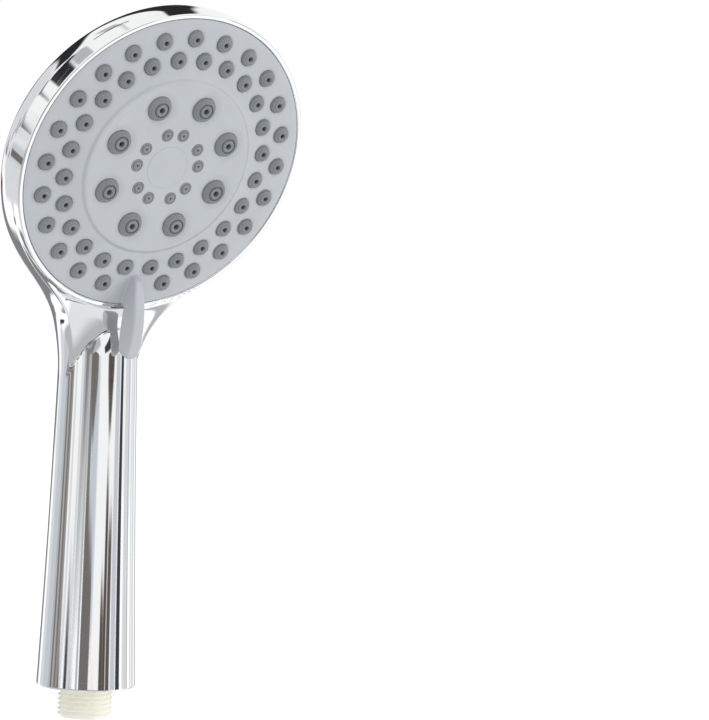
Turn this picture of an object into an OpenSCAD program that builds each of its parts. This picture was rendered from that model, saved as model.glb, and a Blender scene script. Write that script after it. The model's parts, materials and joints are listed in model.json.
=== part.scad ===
// Handheld shower head with a domed round head, a tapered handle and a
// turning multi-spray face. Millimetres, +Z up along the handle.
// Origin: centre of the end face of the inlet thread. The spray face looks
// toward -Y and is tipped down by the tilt angle.

/* [Inlet thread] */
// Outer radius of the G1/2 pipe thread
thread_r = 10.4775; // [10:0.0005:11]
// Thread pitch
thread_pitch = 1.814; // [1.5:0.001:2.2]
// Depth of the thread form
thread_depth = 1.162; // [0.8:0.001:1.4]
// Length of thread that stands out of the handle
thread_len = 12; // [10:0.5:16]
// Radius of the bore that holds the strainer
inlet_r = 6.5; // [5.5:0.1:7]
// Depth of the bore that holds the strainer
inlet_depth = 9; // [7:0.5:10]

/* [Handle] */
// Radius of the handle at its lower end
handle_r = 18.9; // [17.5:0.1:21]
// Taper of the handle radius per millimetre of height
handle_taper = 0.0407; // [0.03:0.0001:0.05]
// Easing of that taper toward the neck
handle_ease = 0.0000741; // [0:0.0000001:0.0001]
// Height of the neck's swell above the handle's lower end
swell_rise = 141.5; // [130:0.5:150]
// Rate at which the neck swells toward the head
swell_rate = 0.015; // [0.005:0.001:0.025]
// Height of the rounded handle top inside the head, above the swell's start
neck_rise = 14.4; // [4:0.1:24]
// Softness of that rounded top
neck_round = 28; // [20:1:35]

/* [Head] */
// Tilt of the spray face from vertical
tilt = 21.7; // [18:0.1:26]
// Reach of the face centre in front of the handle axis
face_reach = 43.2; // [40:0.1:48]
// Height of the face centre above the handle's lower end
face_rise = 200.1; // [196:0.1:210]
// Depth of the domed back behind the face
head_depth = 33.75; // [32:0.05:40]
// Radius of the domed back
dome_r = 180; // [140:1:240]
// Shift of the dome's centre toward the handle
dome_shift = 10.1; // [0:0.1:14]
// Softness of the edge between dome and side
edge_round = 10; // [6:0.5:14]
// Setback of the rim behind the face centre
rim_drop = 3.55; // [3:0.05:4.5]
// Blend between head and handle at the front
blend_front = 6; // [4:0.5:10]
// Blend between head and handle at the back
blend_back = 35.5; // [28:0.5:42]
// Wall thickness of the shell
shell_wall = 2.2; // [1.6:0.1:2.6]
// Width of the shell's front lip
lip = 1.6; // [1.2:0.1:2.4]

/* [Face plate] */
// Thickness of the face plate's skin
skin = 2; // [1.6:0.1:2.6]
// Height of the raised centre disc above the outer field
disc_step = 1; // [0.6:0.1:1.4]
// Fall of the outer field from the disc to the edge
field_fall = 2.4; // [1.5:0.1:2.4]
// Depth of the face plate's skirt behind its edge
skirt_depth = 7; // [5:0.1:7.5]
// Wall of that skirt
skirt_wall = 2; // [1.6:0.1:2.4]
// Running gap between the face plate and the shell
face_gap = 0.4; // [0.3:0.05:0.8]
// Radius of the centre cap
cap_r = 8.35; // [8:0.05:9]
// Reach of the lever past the plate edge
lever_reach = 17.8; // [14:0.1:19]
// Height of the lever above the face centre
lever_h = 9; // [8:0.1:10.5]
// Half width of the lever at its foot
lever_w = 3.8; // [3.4:0.1:4.2]

/* [Nozzles] */
// Distance of the mist nozzles from the cap's edge
mist_offset = 5.05; // [4.8:0.05:5.5]
// Radius of a mist insert
mist_r = 2.45; // [2.2:0.05:2.6]
// Distance from the turbine's bearing wall to the large nozzles
power_offset = 6.2; // [6:0.1:7]
// Number of large nozzles
power_count = 8; // [6:1:8]
// Foot radius of a large nozzle
power_foot = 4.9; // [4.2:0.1:5]
// Height of a large nozzle above the face
power_rise = 2.45; // [2:0.05:3]
// Distance from the rain chamber's inner wall to the middle ring
rain_offset = 4.3; // [4.2:0.1:5]
// Distance between the middle and the outer ring of nozzles
rain_pitch = 8.2; // [8:0.1:9]
// Number of places on each rain ring
rain_count = 24; // [20:1:24]
// Foot radius of a rain nozzle
rain_foot = 3.45; // [3:0.05:3.6]
// Height of a rain nozzle above the plate
rain_rise = 0.8; // [0.5:0.05:1.4]
// Thickness of the soft nozzle mats
mat_t = 1.2; // [1:0.1:1.6]
// Gap around each nozzle in the face plate
nozzle_gap = 0.3; // [0.2:0.05:0.35]

/* [Cartridge] */
// Thickness of the chamber walls
wall_t = 1.4; // [1.2:0.1:1.8]
// Width of the mist chamber outside its nozzles
mist_cell = 4.4; // [4.2:0.1:5]
// Width of the turbine chamber outside its nozzles
power_cell = 8.6; // [8.2:0.1:9.4]
// Width of the screw ring between turbine and rain chambers
screw_land = 4; // [4:0.1:5]
// Width of the rain chamber outside its nozzles
rain_cell = 3.5; // [3.5:0.1:4.5]
// Headroom between the nozzle mat and the turbine
turbine_room = 2.35; // [1.8:0.05:2.8]
// Height of the turbine
turbine_h = 4.6; // [4:0.1:5]
// Number of turbine vanes
vane_count = 12; // [8:1:16]
// Running gap around the turbine
turbine_gap = 0.3; // [0.2:0.05:0.4]
// Thickness of the jet ring
jet_t = 1.35; // [1.2:0.05:1.6]
// Thickness of the chamber plate's floor
floor_t = 1.2; // [1:0.1:1.5]
// Thickness of the gasket
gasket_t = 0.5; // [0.4:0.05:0.8]
// Thickness of the port plate
port_plate_t = 1.8; // [1.6:0.1:2.2]
// Pitch radius of the ports
port_pitch_r = 22; // [21:0.1:23]
// Radius of a port
port_r = 3; // [2.5:0.1:3.2]
// Angle between two click positions
click_angle = 30; // [30:1:34]
// Radius of the plate screws' shank
plate_screw_r = 1; // [0.8:0.05:1.1]

/* [Valve base] */
// Radius of the hub post
post_r = 5.5; // [5:0.1:5.8]
// Running clearance between post and sleeve
post_gap = 0.08; // [0.04:0.01:0.1]
// Radius of the valve base
base_r = 36; // [34.5:0.5:38]
// Thickness of the valve base
base_t = 3; // [2.8:0.1:3.4]
// Gap between the port plate and the valve base
base_gap = 0.7; // [0.5:0.05:0.9]
// Radius on which the base screws sit
base_screw_pitch = 30; // [28:0.5:31]
// Radius of the base screws' shank
base_screw_r = 1.45; // [1.2:0.05:1.6]
// Outer radius of the port seal
seal_r = 5; // [4.6:0.1:5.2]
// Radius of the detent pin
pin_r = 2; // [1.6:0.1:2.2]
// Radius on which the detent pin sits
pin_pitch_r = 31; // [30:0.5:32]
// Travel of the detent pin into a dimple
pin_travel = 0.9; // [0.6:0.1:1]

/* [Water tube] */
// Outer radius of the tube in the handle
tube_r = 8.5; // [8:0.1:9]
// Bore radius of the tube
tube_bore = 6; // [5:0.1:6.2]
// Outer radius of the spigot at its top
spigot_r = 6.2; // [5.8:0.1:6.6]
// Bore radius of the spigot
spigot_bore = 4.5; // [4:0.1:4.8]
// Height of the spigot's shoulder above the handle's lower end
shoulder_rise = 142; // [136:0.5:145]
// Height of the spigot's end above the handle's lower end
spigot_rise = 156; // [153:0.5:158]
// Wall of the socket that takes the spigot
socket_wall = 2.2; // [1.8:0.1:2.4]

/* [Hidden] */
$fn = 64;

// Clearance between pieces that are assembled face to face
fit = 0.05;
// Extra length of a cutting body past the face that it cuts
over = 1;
// Depth by which two solids of one piece reach into each other
bite = 0.3;
// Clearances: screw in its hole, pin or seal in its pocket, ring in its chamber, mat in its chamber
screw_play = 0.15;
pocket_play = 0.1;
ring_play = 0.2;
mat_play = 0.4;

// Places along the handle
handle_z = thread_len;
face_y = -face_reach;
face_z = handle_z + face_rise;
swell_z = handle_z + swell_rise;
neck_z = swell_z + neck_rise;
shoulder_z = handle_z + shoulder_rise;
spigot_z = handle_z + spigot_rise;

// Radii of the face, from the centre outward
sleeve_bore = post_r + post_gap;
sleeve_wall = 2.4;
sleeve_r = sleeve_bore + sleeve_wall;
collar_r = cap_r + fit + wall_t;
mist_ring_r = cap_r + mist_offset;
mist_wall_r = mist_ring_r + mist_cell;
bearing_r = mist_wall_r + wall_t;
power_ring_r = bearing_r + power_offset;
power_wall_r = power_ring_r + power_cell;
screw_ring_r = power_wall_r + screw_land / 2;
rain_wall_r = power_wall_r + screw_land;
disc_margin = 0.5;
disc_r = power_wall_r + disc_margin;
rain_mid_r = rain_wall_r + rain_offset;
rain_out_r = rain_mid_r + rain_pitch;
rain_end_r = rain_out_r + rain_cell;
chamber_r = rain_end_r + wall_t + ring_play;
skirt_in_r = chamber_r + mat_play;
plate_r = skirt_in_r + skirt_wall;
recess_r = plate_r + face_gap;
head_r = recess_r + lip;

// Depths behind the face centre, from the front to the back
mat_back = -(skin + fit + mat_t);
turbine_top = mat_back - turbine_room;
turbine_back = turbine_top - turbine_h;
jet_top = turbine_back - turbine_gap;
floor_top = jet_top - jet_t - fit;
floor_back = floor_top - floor_t;
gasket_top = floor_back - fit;
port_top = gasket_top - gasket_t - fit;
port_back = port_top - port_plate_t;
base_top = port_back - base_gap;
base_back = base_top - base_t;

// Hub, from the cap down
cap_t = 1.6;
cap_rim = 1.4;
cap_room = 1.9;
hub_head_top = -(cap_t + cap_room);
hub_head_h = 2;
washer_top = hub_head_top - hub_head_h;
washer_t = 1;
post_top = washer_top - washer_t;
end_play = 0.1;
sleeve_top = post_top - end_play;
hub_screw_r = 1.2;
hub_screw_head_r = 3;
hub_screw_len = 8.5;
key_r = 1.25;

// Outer field of the face
step_w = 1.5;
edge_bevel = 1.7;
edge_drop = 1.1;
edge_r = plate_r - edge_bevel;
field_start = disc_r + step_w;
FIELD = [[0, 0], [disc_r, 0], [field_start, -disc_step],
         [rain_mid_r, -disc_step - field_fall * 0.5], [rain_out_r, -disc_step - field_fall * 0.79],
         [edge_r, -disc_step - field_fall]];
function face_at(r) = lookup(r, FIELD);
skirt_back = -rim_drop - skirt_depth;

// Nozzles and ports
function rain_angles(offset) = [for (i = [0:rain_count - 1]) -90 + (i + offset) * 360 / rain_count];
OUTER_ANGLES = [for (a = rain_angles(0)) if (a > -90) a];
MIDDLE_ANGLES = rain_angles(0.5);
rain_hole_r = 0.65;
rain_top_r = 1.7;
power_hole_r = 0.8;
POWER_ANGLES = [for (i = [0:power_count - 1]) -90 + (i + 0.5) * 360 / power_count];
mist_pairs = 5;
mist_spread = 15;
MIST_ANGLES = [for (i = [0:mist_pairs - 1]) for (s = [-1, 1]) 90 + i * 360 / mist_pairs + s * mist_spread];
mist_back = -5;
mist_wall = 0.85;
mist_rim = 0.2;
mist_boss_r = 1.7;
mist_boss_h = 0.6;
mist_hole_r = 0.35;
core_r = 1.4;
jet_duct_w = 8;
jet_duct_d = 0.65;
jet_r = 0.9;
vane_t = 1;
shutter_t = 0.9;
rotor_hub_wall = 1.5;
rotor_rim_wall = 1.2;
rotor_rim_play = 1.5;
rotor_bite = 0.5;
SCREW_ANGLES = [for (i = [0:5]) 15 + i * 60];
BASE_ANGLES = [for (i = [0:3]) 45 + i * 90];
PORTS = [-2, -1, 0, 1, 2];
MIST_PORTS = [-2, -1];
RAIN_PORTS = [-1, 0, 1];
POWER_PORTS = [1, 2];
mist_inlet_r = mist_ring_r;
rain_inlet_r = (rain_mid_r + rain_out_r) / 2 - mat_play;
power_shift = 2;
power_inlet_r = port_pitch_r + power_shift;
inlet_hole_r = 2.5;
port_margin = 2;
channel_w = 5;
channel_d = 1;
port_plate_r = rain_inlet_r + inlet_hole_r + port_margin;
boss_wall = 1.3;
boss_h = 4;
boss_r = plate_screw_r + boss_wall;
boss_back = -disc_step - skin - boss_h;
dimple_d = pin_travel + fit;
dimple_r = pin_r - 0.4;
screw_head_r = plate_screw_r + 0.8;
screw_head_h = 0.95;
screw_bite = 3.2;

// Duct of the valve base, in face coordinates
duct_w = 7;
duct_wall = 2;
duct_h = 7;
duct_roof = 1.3;
duct_floor = 1.6;
duct_top = base_back - duct_roof;
duct_back = duct_top - duct_h;
seal_h = 3.9;
seal_seat = duct_back + duct_floor + duct_roof;
pocket_depth = 4;
pocket_back = base_back - pocket_depth;
pocket_floor = 1.2;
pin_h = 5;
socket_bore = spigot_r + pocket_play;
socket_r = socket_bore + socket_wall;
socket_low = spigot_z - 10;
socket_high = spigot_z + 5.5;
socket_roof = 1.6;
// Distance of the duct's lower end from the face centre
knee_reach = face_reach * sin(tilt) + (face_z - socket_high) * cos(tilt) + ring_play;
// Place of the O-ring on the hub post
hub_ring_z = (sleeve_top + floor_back) / 2;
hub_ring_wire = 0.42;

// Water tube
collar_h = 3.4;
collar_low = handle_z + 0.6;
collar_play = 0.25;
o_ring_r = 0.5;
O_RING_Z = [spigot_z - 7, spigot_z - 3.5];
crest_w = 0.55;
restrictor_t = 1.8;

// ---- Outer form of the body: head and handle flow into each other ----

function smooth_min(a, b, k) =
    let (h = min(1, max(0, 0.5 + 0.5 * (b - a) / k)))
    b * (1 - h) + a * h - k * h * (1 - h);
function smooth_max(a, b, k) = -smooth_min(-a, -b, k);
function to_face(p) =
    let (y = p[1] - face_y, z = p[2] - face_z)
    [p[0], z * cos(tilt) - y * sin(tilt), -y * cos(tilt) - z * sin(tilt)];
function from_face(q) =
    [q[0], face_y - q[1] * sin(tilt) - q[2] * cos(tilt), face_z + q[1] * cos(tilt) - q[2] * sin(tilt)];

// Signed distance to the domed head, in face coordinates
function head_field(q, front) =
    let (dome = norm([q[0], q[1] + dome_shift, q[2] - dome_r + head_depth]) - dome_r)
    max(smooth_max(norm([q[0], q[1]]) - head_r, dome, edge_round), q[2] - front);

// Radius of the handle at a height, with the neck's swell
function handle_radius(z) =
    let (t = min(z - handle_z, 150), s = min(max(z - swell_z, 0), 60))
    handle_r - handle_taper * t + handle_ease * t * t + swell_rate * s * s;
function handle_field(p) =
    smooth_max(norm([p[0], p[1]]) - handle_radius(p[2]), p[2] - neck_z, neck_round);

// Signed distance to the body. The blend is tight in front and wide behind.
blend_from = 2.35;
blend_span = 7;
function body_field(p, front) =
    let (q = to_face(p), w = min(1, max(0, (-q[2] - blend_from) / blend_span)),
         k = blend_front + (blend_back - blend_front) * w * w * (3 - 2 * w))
    smooth_min(head_field(q, front), handle_field(p), k);

// Distance from c along d at which the field reaches a level, by halving
function reach(c, d, level, front, near, far, n) =
    let (m = (near + far) / 2)
    n == 0 ? m : body_field(c + m * d, front) < level
        ? reach(c, d, level, front, m, far, n - 1)
        : reach(c, d, level, front, near, m, n - 1);

// Spine of the body: up the handle, round a bend, then up behind the face
spine_depth = 18;
spine_lift = 9;
bend_r = 120;
knee_v = (face_y + spine_depth * cos(tilt)) / sin(tilt);
knee_z = face_z + knee_v * cos(tilt) + spine_depth * sin(tilt);
bend_len = bend_r * tan(tilt / 2);
head_v = knee_v + bend_len;

// A ring is its centre, its front-back direction, its width and its depth
function handle_ring(z) = [[0, 0, z], [0, 1, 0], 34, 34];
function bend_ring(f) =
    let (a = f * tilt, r = bend_r)
    [[0, r * cos(a) - r, knee_z - bend_len + r * sin(a)], [0, cos(a), sin(a)], 34 + 40 * f, 34 + 6 * f];
function head_ring(v) =
    let (f = (v - head_v) / (head_r - head_v))
    [from_face([0, v, -spine_depth + spine_lift * f * f]), [0, cos(tilt), sin(tilt)], 74, 40];
function rings(low, high, n_handle, n_bend, n_head) = concat(
    [for (i = [0:n_handle - 1]) handle_ring(low + (knee_z - bend_len - low) * i / n_handle)],
    [for (i = [0:n_bend - 1]) bend_ring(i / n_bend)],
    [for (i = [0:n_head]) head_ring(head_v + (high - head_v) * sin(90 * i / n_head))]);

// Closed skin through the rings at one level of the field
module body_skin(list, sides, level, front) {
    points = [for (r = list) for (i = [0:sides - 1])
        let (a = 360 * (i + 0.5) / sides, d = [r[2] * cos(a), 0, 0] + r[3] * sin(a) * r[1])
        r[0] + reach(r[0], d, level, front, 0, 1, 16) * d];
    last = len(list) - 1;
    function at(j, i) = j * sides + i % sides;
    faces = concat(
        [[for (i = [0:sides - 1]) i]],
        [for (j = [0:last - 1]) for (i = [0:sides - 1]) [at(j, i), at(j + 1, i + 1), at(j, i + 1)]],
        [for (j = [0:last - 1]) for (i = [0:sides - 1]) [at(j, i), at(j + 1, i), at(j + 1, i + 1)]],
        [[for (i = [sides - 1:-1:0]) at(last, i)]]);
    polyhedron(points, faces);
}

// ---- Shared helpers ----

module at_face() translate([0, face_y, face_z]) rotate([90 + tilt, 0, 0]) children();
module ring(r_in, r_out, low, high) translate([0, 0, low]) difference() {
    cylinder(r = r_out, h = high - low);
    translate([0, 0, -over]) cylinder(r = r_in, h = high - low + 2 * over);
}
module disc(r, low, high) translate([0, 0, low]) cylinder(r = r, h = high - low);
module around(angles, r) for (a = angles) rotate(a) translate([r, 0, 0]) children();
module o_ring(r, wire) rotate_extrude() translate([r, 0]) circle(wire, $fn = 24);
module screw(wide, head, shank, length) {
    disc(wide, -head, 0);
    disc(shank, -length, -head + 0.01);
}

// Coil spring that stands on z = 0, with closed ends left as plain turns
module spring(r, wire, height, turns) {
    sides = 8;
    steps = 14 * turns;
    rise = height - 2 * wire;
    points = [for (j = [0:steps]) for (i = [0:sides - 1])
        let (a = 360 * turns * j / steps, b = 360 * i / sides, rr = r + wire * cos(b))
        [rr * cos(a), rr * sin(a), wire + rise * j / steps + wire * sin(b)]];
    function at(j, i) = j * sides + i % sides;
    faces = concat(
        [[for (i = [sides - 1:-1:0]) i]],
        [for (j = [0:steps - 1]) for (i = [0:sides - 1]) [at(j, i), at(j, i + 1), at(j + 1, i + 1)]],
        [for (j = [0:steps - 1]) for (i = [0:sides - 1]) [at(j, i), at(j + 1, i + 1), at(j + 1, i)]],
        [[for (i = [0:sides - 1]) at(steps, i)]]);
    polyhedron(points, faces);
}

// ---- Fixed pieces ----

// Depth of the body's back behind the face at one place
function back_at(x, v, low, high, n) =
    let (m = (low + high) / 2)
    n == 0 ? m : body_field(from_face([x, v, m]), 0) < 0
        ? back_at(x, v, low, m, n - 1)
        : back_at(x, v, m, high, n - 1);

// The faceted skin lies this far inside the rim's true cylinder
skin_inset = 0.06;
shell_boss_r = base_screw_r + 2.2;
shell_boss_sink = 1.2;
well_play = 0.6;
base_screw_len = 7;
base_head_r = 2 * base_screw_r - screw_play;
base_head_h = 1.45;
base_head_sink = 1.7;
knee_cut = 1.5;

// Drum with many flat sides, which meets the faceted skin cleanly
module drum(r, low, high) {
    sides = 120;
    translate([0, 0, low]) linear_extrude(high - low)
        polygon([for (i = [0:sides - 1]) r * [cos((i + 0.3) * 360 / sides), sin((i + 0.3) * 360 / sides)]]);
}

// Stepped well in the front of the shell for the turning cartridge
module front_well() {
    drum(chamber_r + well_play, floor_back - mat_play, skirt_back);
    drum(recess_r, skirt_back - well_play, over - rim_drop);
}

module outer_shell() color("gainsboro") {
    rim = -rim_drop;
    difference() {
        union() {
            body_skin(rings(handle_z, head_r - 0.5, 13, 12, 24), 40, -skin_inset, rim - 0.6);
            at_face() drum(head_r, rim - 5, rim);
        }
        body_skin(rings(handle_z - over, chamber_r - 0.3, 9, 9, 18), 32, -shell_wall, rim - 4.5);
        at_face() front_well();
    }
    at_face() for (a = BASE_ANGLES) {
        x = base_screw_pitch * cos(a);
        v = base_screw_pitch * sin(a);
        translate([x, v, 0]) difference() {
            disc(shell_boss_r, back_at(x, v, -60, -20, 14) + shell_boss_sink, base_back - fit);
            disc(base_screw_r + fit, base_back - base_screw_len, base_back + over);
        }
    }
}

// Half profile of the thread: flat crests on the outer radius, straight flanks
function thread_profile() =
    let (root = thread_r - thread_depth, flank = (thread_pitch - crest_w) / 2 - 0.2, start = 0.3,
         n = floor((thread_len - start - crest_w) / thread_pitch))
    concat([[0, 0], [thread_r - start, 0], [thread_r, start], [thread_r, start + crest_w],
            [root, start + crest_w + flank]],
        [for (i = [1:n - 1]) for (q = [[root, -flank], [thread_r, 0], [thread_r, crest_w],
                                       [root, crest_w + flank]])
            [q[0], start + i * thread_pitch + q[1]]],
        [[root, thread_len + 1], [0, thread_len + 1]]);

module water_tube() color("cornsilk") difference() {
    union() {
        rotate_extrude($fn = 96) polygon(thread_profile());
        disc(handle_radius(collar_low) - shell_wall - collar_play, collar_low, collar_low + collar_h);
        disc(tube_r, collar_low, shoulder_z);
        disc(spigot_r, shoulder_z - over, spigot_z);
    }
    disc(inlet_r, -over, inlet_depth);
    disc(tube_bore, 0, shoulder_z - 3);
    disc(spigot_bore, 0, spigot_z + over);
    for (z = O_RING_Z) ring(spigot_r - 2 * o_ring_r, spigot_r + over, z - o_ring_r - 0.1, z + o_ring_r + 0.1);
}

module tube_o_rings() color("dimgray")
    for (z = O_RING_Z) translate([0, 0, z]) o_ring(spigot_r - o_ring_r + 0.06, o_ring_r);

// Cup strainer: open below, holes in its side and top
module inlet_filter() color("whitesmoke") {
    r = inlet_r - fit;
    top = inlet_depth - restrictor_t - 2 * fit - 1.6;
    difference() {
        union() {
            disc(r, 0.4, 1.6);
            disc(r - 0.9, 1.5, top);
        }
        disc(r - 1.9, 0, top - 1);
        for (a = [0:45:315]) rotate(a) translate([r - 3, -0.5, 2.2]) cube([3, 1, top - 4]);
        for (a = [0:60:300]) rotate(a) translate([2.4, 0, 0]) cylinder(r = 0.6, h = top + over, $fn = 16);
    }
}

module flow_restrictor() color("steelblue") difference() {
    disc(inlet_r - fit, inlet_depth - restrictor_t - fit, inlet_depth - fit);
    for (a = [0:60:300]) rotate(a) translate([3.2, 0, 0]) cylinder(r = 0.8, h = inlet_depth, $fn = 24);
}

module restrictor_o_ring() color("dimgray")
    translate([0, 0, inlet_depth - restrictor_t - 2 * fit - 0.75]) o_ring(inlet_r - 0.8, 0.7);

module valve_base() color("lightgray") {
    seal_v = -port_pitch_r;
    pin_v = pin_pitch_r;
    difference() {
        union() {
            at_face() {
                disc(base_r, base_back, base_top);
                disc(post_r, base_back + 0.5, post_top);
                translate([0, seal_v, 0]) disc(seal_r + duct_wall, duct_back, base_top - 0.5);
                translate([0, pin_v, 0]) disc(pin_r + duct_wall, pocket_back - pocket_floor, base_back + 0.5);
                translate([-duct_w / 2 - duct_wall, -knee_reach, duct_back])
                    cube([duct_w + 2 * duct_wall, knee_reach + seal_v + 2, base_back + 0.5 - duct_back]);
            }
            disc(socket_r, socket_low, socket_high);
        }
        disc(socket_bore, socket_low - over, spigot_z + bite);
        disc(spigot_bore, spigot_z, socket_high - socket_roof);
        at_face() {
            translate([0, seal_v, 0]) disc(seal_r + pocket_play, seal_seat, base_top + over);
            translate([0, pin_v, 0]) disc(pin_r + pocket_play, pocket_back, base_top + over);
            translate([-duct_w / 2, -knee_reach - knee_cut, duct_back + duct_floor])
                cube([duct_w, knee_reach + knee_cut + seal_v, duct_h - duct_floor]);
            around(BASE_ANGLES, base_screw_pitch) {
                disc(base_screw_r + screw_play, base_back - over, base_top + over);
                disc(base_head_r + screw_play, base_top - base_head_sink, base_top + over);
            }
            disc(hub_screw_r + fit, base_back + duct_floor, post_top + over);
            ring(post_r - 2 * hub_ring_wire - fit, post_r + over, hub_ring_z - o_ring_r, hub_ring_z + o_ring_r);
        }
    }
}

module base_screws() color("silver") at_face() around(BASE_ANGLES, base_screw_pitch)
    translate([0, 0, base_top - screw_play]) difference() {
        screw(base_head_r, base_head_h, base_screw_r, base_screw_len + base_t - over);
        disc(1, -0.8, over, $fn = 6);
    }

module hub_o_ring() color("dimgray") at_face() translate([0, 0, hub_ring_z]) o_ring(post_r - hub_ring_wire, hub_ring_wire);

module port_seal() color("dimgray") at_face() translate([0, -port_pitch_r, 0])
    ring(port_r, seal_r, port_back - fit - seal_h, port_back - fit);

module seal_spring() color("silver") at_face() translate([0, -port_pitch_r, seal_seat + fit])
    spring(seal_r - 0.6, 0.4, port_back - 2 * fit - seal_h - seal_seat - fit, 3);

// The pin is drawn on the land between two dimples, its travel's lower end
module detent_pin() color("whitesmoke") at_face() translate([0, pin_pitch_r, port_back - fit]) {
    tip = 1.9;
    rotate_extrude() polygon([[0, -pin_h], [pin_r, -pin_h], [pin_r, -tip], [0.6, 0], [0, 0]]);
}

module detent_spring() color("silver") at_face() translate([0, pin_pitch_r, pocket_back + fit])
    spring(pin_r - 0.4, 0.3, port_back - 2 * fit - pin_h - pocket_back - fit, 3);

module hub_screw() color("silver") at_face() translate([0, 0, hub_head_top]) difference() {
    screw(hub_screw_head_r, hub_head_h - fit, hub_screw_r, hub_head_h + hub_screw_len);
    disc(key_r, -1.2, over, $fn = 6);
}

module hub_washer() color("silver") at_face() ring(hub_screw_r + 0.1, post_r + 2, post_top + fit, washer_top - fit);

// ---- Turning pieces ----

// Side outline of the lever: distance past the plate edge, height
function lever_side() =
    let (tip = lever_reach, h = lever_h)
    [[-15.5, -3.2], [-13, 0.2], [-10, h - 6.2], [-7, h - 4], [-3, h - 1.8], [1, h - 0.6], [tip - 10.8, h],
     [tip - 5.8, h - 0.1], [tip - 2.3, h - 0.8], [tip - 0.3, h - 2.1], [tip, h - 3], [tip - 0.8, h - 3.6],
     [tip - 3.8, h - 4.8], [tip - 8.8, h - 7], [4, h - 8.6], [-1.2, -1.2], [-1.2, -4.4], [-8, -4]];

module lever() intersection() {
    w = lever_w;
    rotate([90, 0, 90]) linear_extrude(2 * w, center = true)
        polygon([for (p = lever_side()) [-plate_r - p[0], p[1]]]);
    rotate([90, 0, 0]) linear_extrude(plate_r + lever_reach + over)
        polygon([[-w, -5], [w, -5], [w * 0.61, lever_h - 0.3], [w * 0.5, lever_h + over],
                 [-w * 0.5, lever_h + over], [-w * 0.61, lever_h - 0.3]]);
    translate([0, -plate_r, -5]) linear_extrude(lever_h + 6)
        polygon([[-0.4, 15.6], [-2, 12], [-w, 4], [-w, -lever_reach + 4.6], [-w + 0.8, -lever_reach + 1.4],
                 [-1.2, -lever_reach], [1.2, -lever_reach], [w - 0.8, -lever_reach + 1.4],
                 [w, -lever_reach + 4.6], [w, 4], [2, 12], [0.4, 15.6]]);
}

module face_plate() color("lightsteelblue") at_face() {
    edge = face_at(edge_r);
    under = [for (i = [len(FIELD) - 1:-1:0]) [FIELD[i][0], FIELD[i][1] - skin]];
    difference() {
        union() {
            rotate(5) rotate_extrude($fn = 128) polygon(concat(FIELD, [[plate_r, edge - edge_drop],
                [plate_r, skirt_back], [skirt_in_r, skirt_back], [skirt_in_r, edge - skin]], under));
            ring(cap_r + fit, collar_r, mist_back, -skin + bite);
            around(MIST_ANGLES, mist_ring_r) disc(mist_r + mist_wall, mist_back + 1, -skin + bite);
            around(SCREW_ANGLES, screw_ring_r) disc(boss_r, boss_back, -disc_step - skin + 0.6);
            lever();
        }
        around(OUTER_ANGLES, rain_out_r) disc(rain_foot + nozzle_gap, -8, 0, $fn = 32);
        around(MIDDLE_ANGLES, rain_mid_r) disc(rain_foot + nozzle_gap, -8, 0, $fn = 32);
        around(POWER_ANGLES, power_ring_r) disc(power_foot + nozzle_gap, -8, over, $fn = 32);
        around(MIST_ANGLES, mist_ring_r) disc(mist_r + fit, -8, over, $fn = 32);
        around(SCREW_ANGLES, screw_ring_r) disc(plate_screw_r + fit, boss_back - over, boss_back + screw_bite + ring_play);
        disc(cap_r + fit, -8, over);
    }
}

module centre_cap() color("lightsteelblue") at_face() {
    disc(cap_r, -cap_t, 0);
    ring(cap_r - cap_rim, cap_r, -2 * cap_t, -cap_t + bite);
}

// Rain nozzle: stem through the plate, cone, fine hole
module rain_nozzle(r) {
    low = face_at(r) - skin - fit - mat_t / 2;
    foot = face_at(r) - 0.3;
    top = face_at(r) + rain_rise;
    rotate_extrude($fn = 32)
        polygon([[rain_hole_r / 2, low], [rain_foot, low], [rain_foot, foot], [rain_foot - 0.4, foot + 0.15],
                 [rain_top_r, top], [rain_hole_r / 2, top]]);
}

module rain_nozzle_mat() color("gray") at_face() difference() {
    union() {
        inner = rain_wall_r + mat_play;
        outer = chamber_r - mat_play;
        drop = skin + fit;
        rotate_extrude($fn = 128) polygon([[inner, face_at(inner) - drop],
            [rain_mid_r, face_at(rain_mid_r) - drop], [rain_out_r, face_at(rain_out_r) - drop],
            [outer, face_at(outer) - drop], [outer, face_at(outer) - drop - mat_t],
            [rain_out_r, face_at(rain_out_r) - drop - mat_t],
            [rain_mid_r, face_at(rain_mid_r) - drop - mat_t], [inner, face_at(inner) - drop - mat_t]]);
        around(OUTER_ANGLES, rain_out_r) rain_nozzle(rain_out_r);
        around(MIDDLE_ANGLES, rain_mid_r) rain_nozzle(rain_mid_r);
    }
    around(OUTER_ANGLES, rain_out_r) disc(rain_hole_r, -8, over, $fn = 16);
    around(MIDDLE_ANGLES, rain_mid_r) disc(rain_hole_r, -8, over, $fn = 16);
}

// Large nozzle: stepped outer cone, a groove, an inner cone with the hole
module power_nozzle() {
    f = power_foot;
    t = power_rise;
    low = mat_back + mat_t / 2;
    rotate_extrude($fn = 32) polygon([[power_hole_r, low], [f, low], [f, -0.3], [f - 0.5, 0.2], [f - 0.8, 0.3],
        [f - 1.3, t - 1.3], [f - 1.6, t - 1.2], [f - 1.9, t - 0.8], [2.6, t - 1], [2.4, 0.4], [2.2, 0.4],
        [1.7, t], [power_hole_r, t]]);
}

module power_nozzle_mat() color("gray") at_face() {
    difference() {
        ring(bearing_r + mat_play, power_wall_r - mat_play, mat_back, mat_back + mat_t, $fn = 96);
        around(POWER_ANGLES, power_ring_r) disc(power_hole_r + over, -8, over, $fn = 32);
    }
    around(POWER_ANGLES, power_ring_r) power_nozzle();
}

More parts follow.
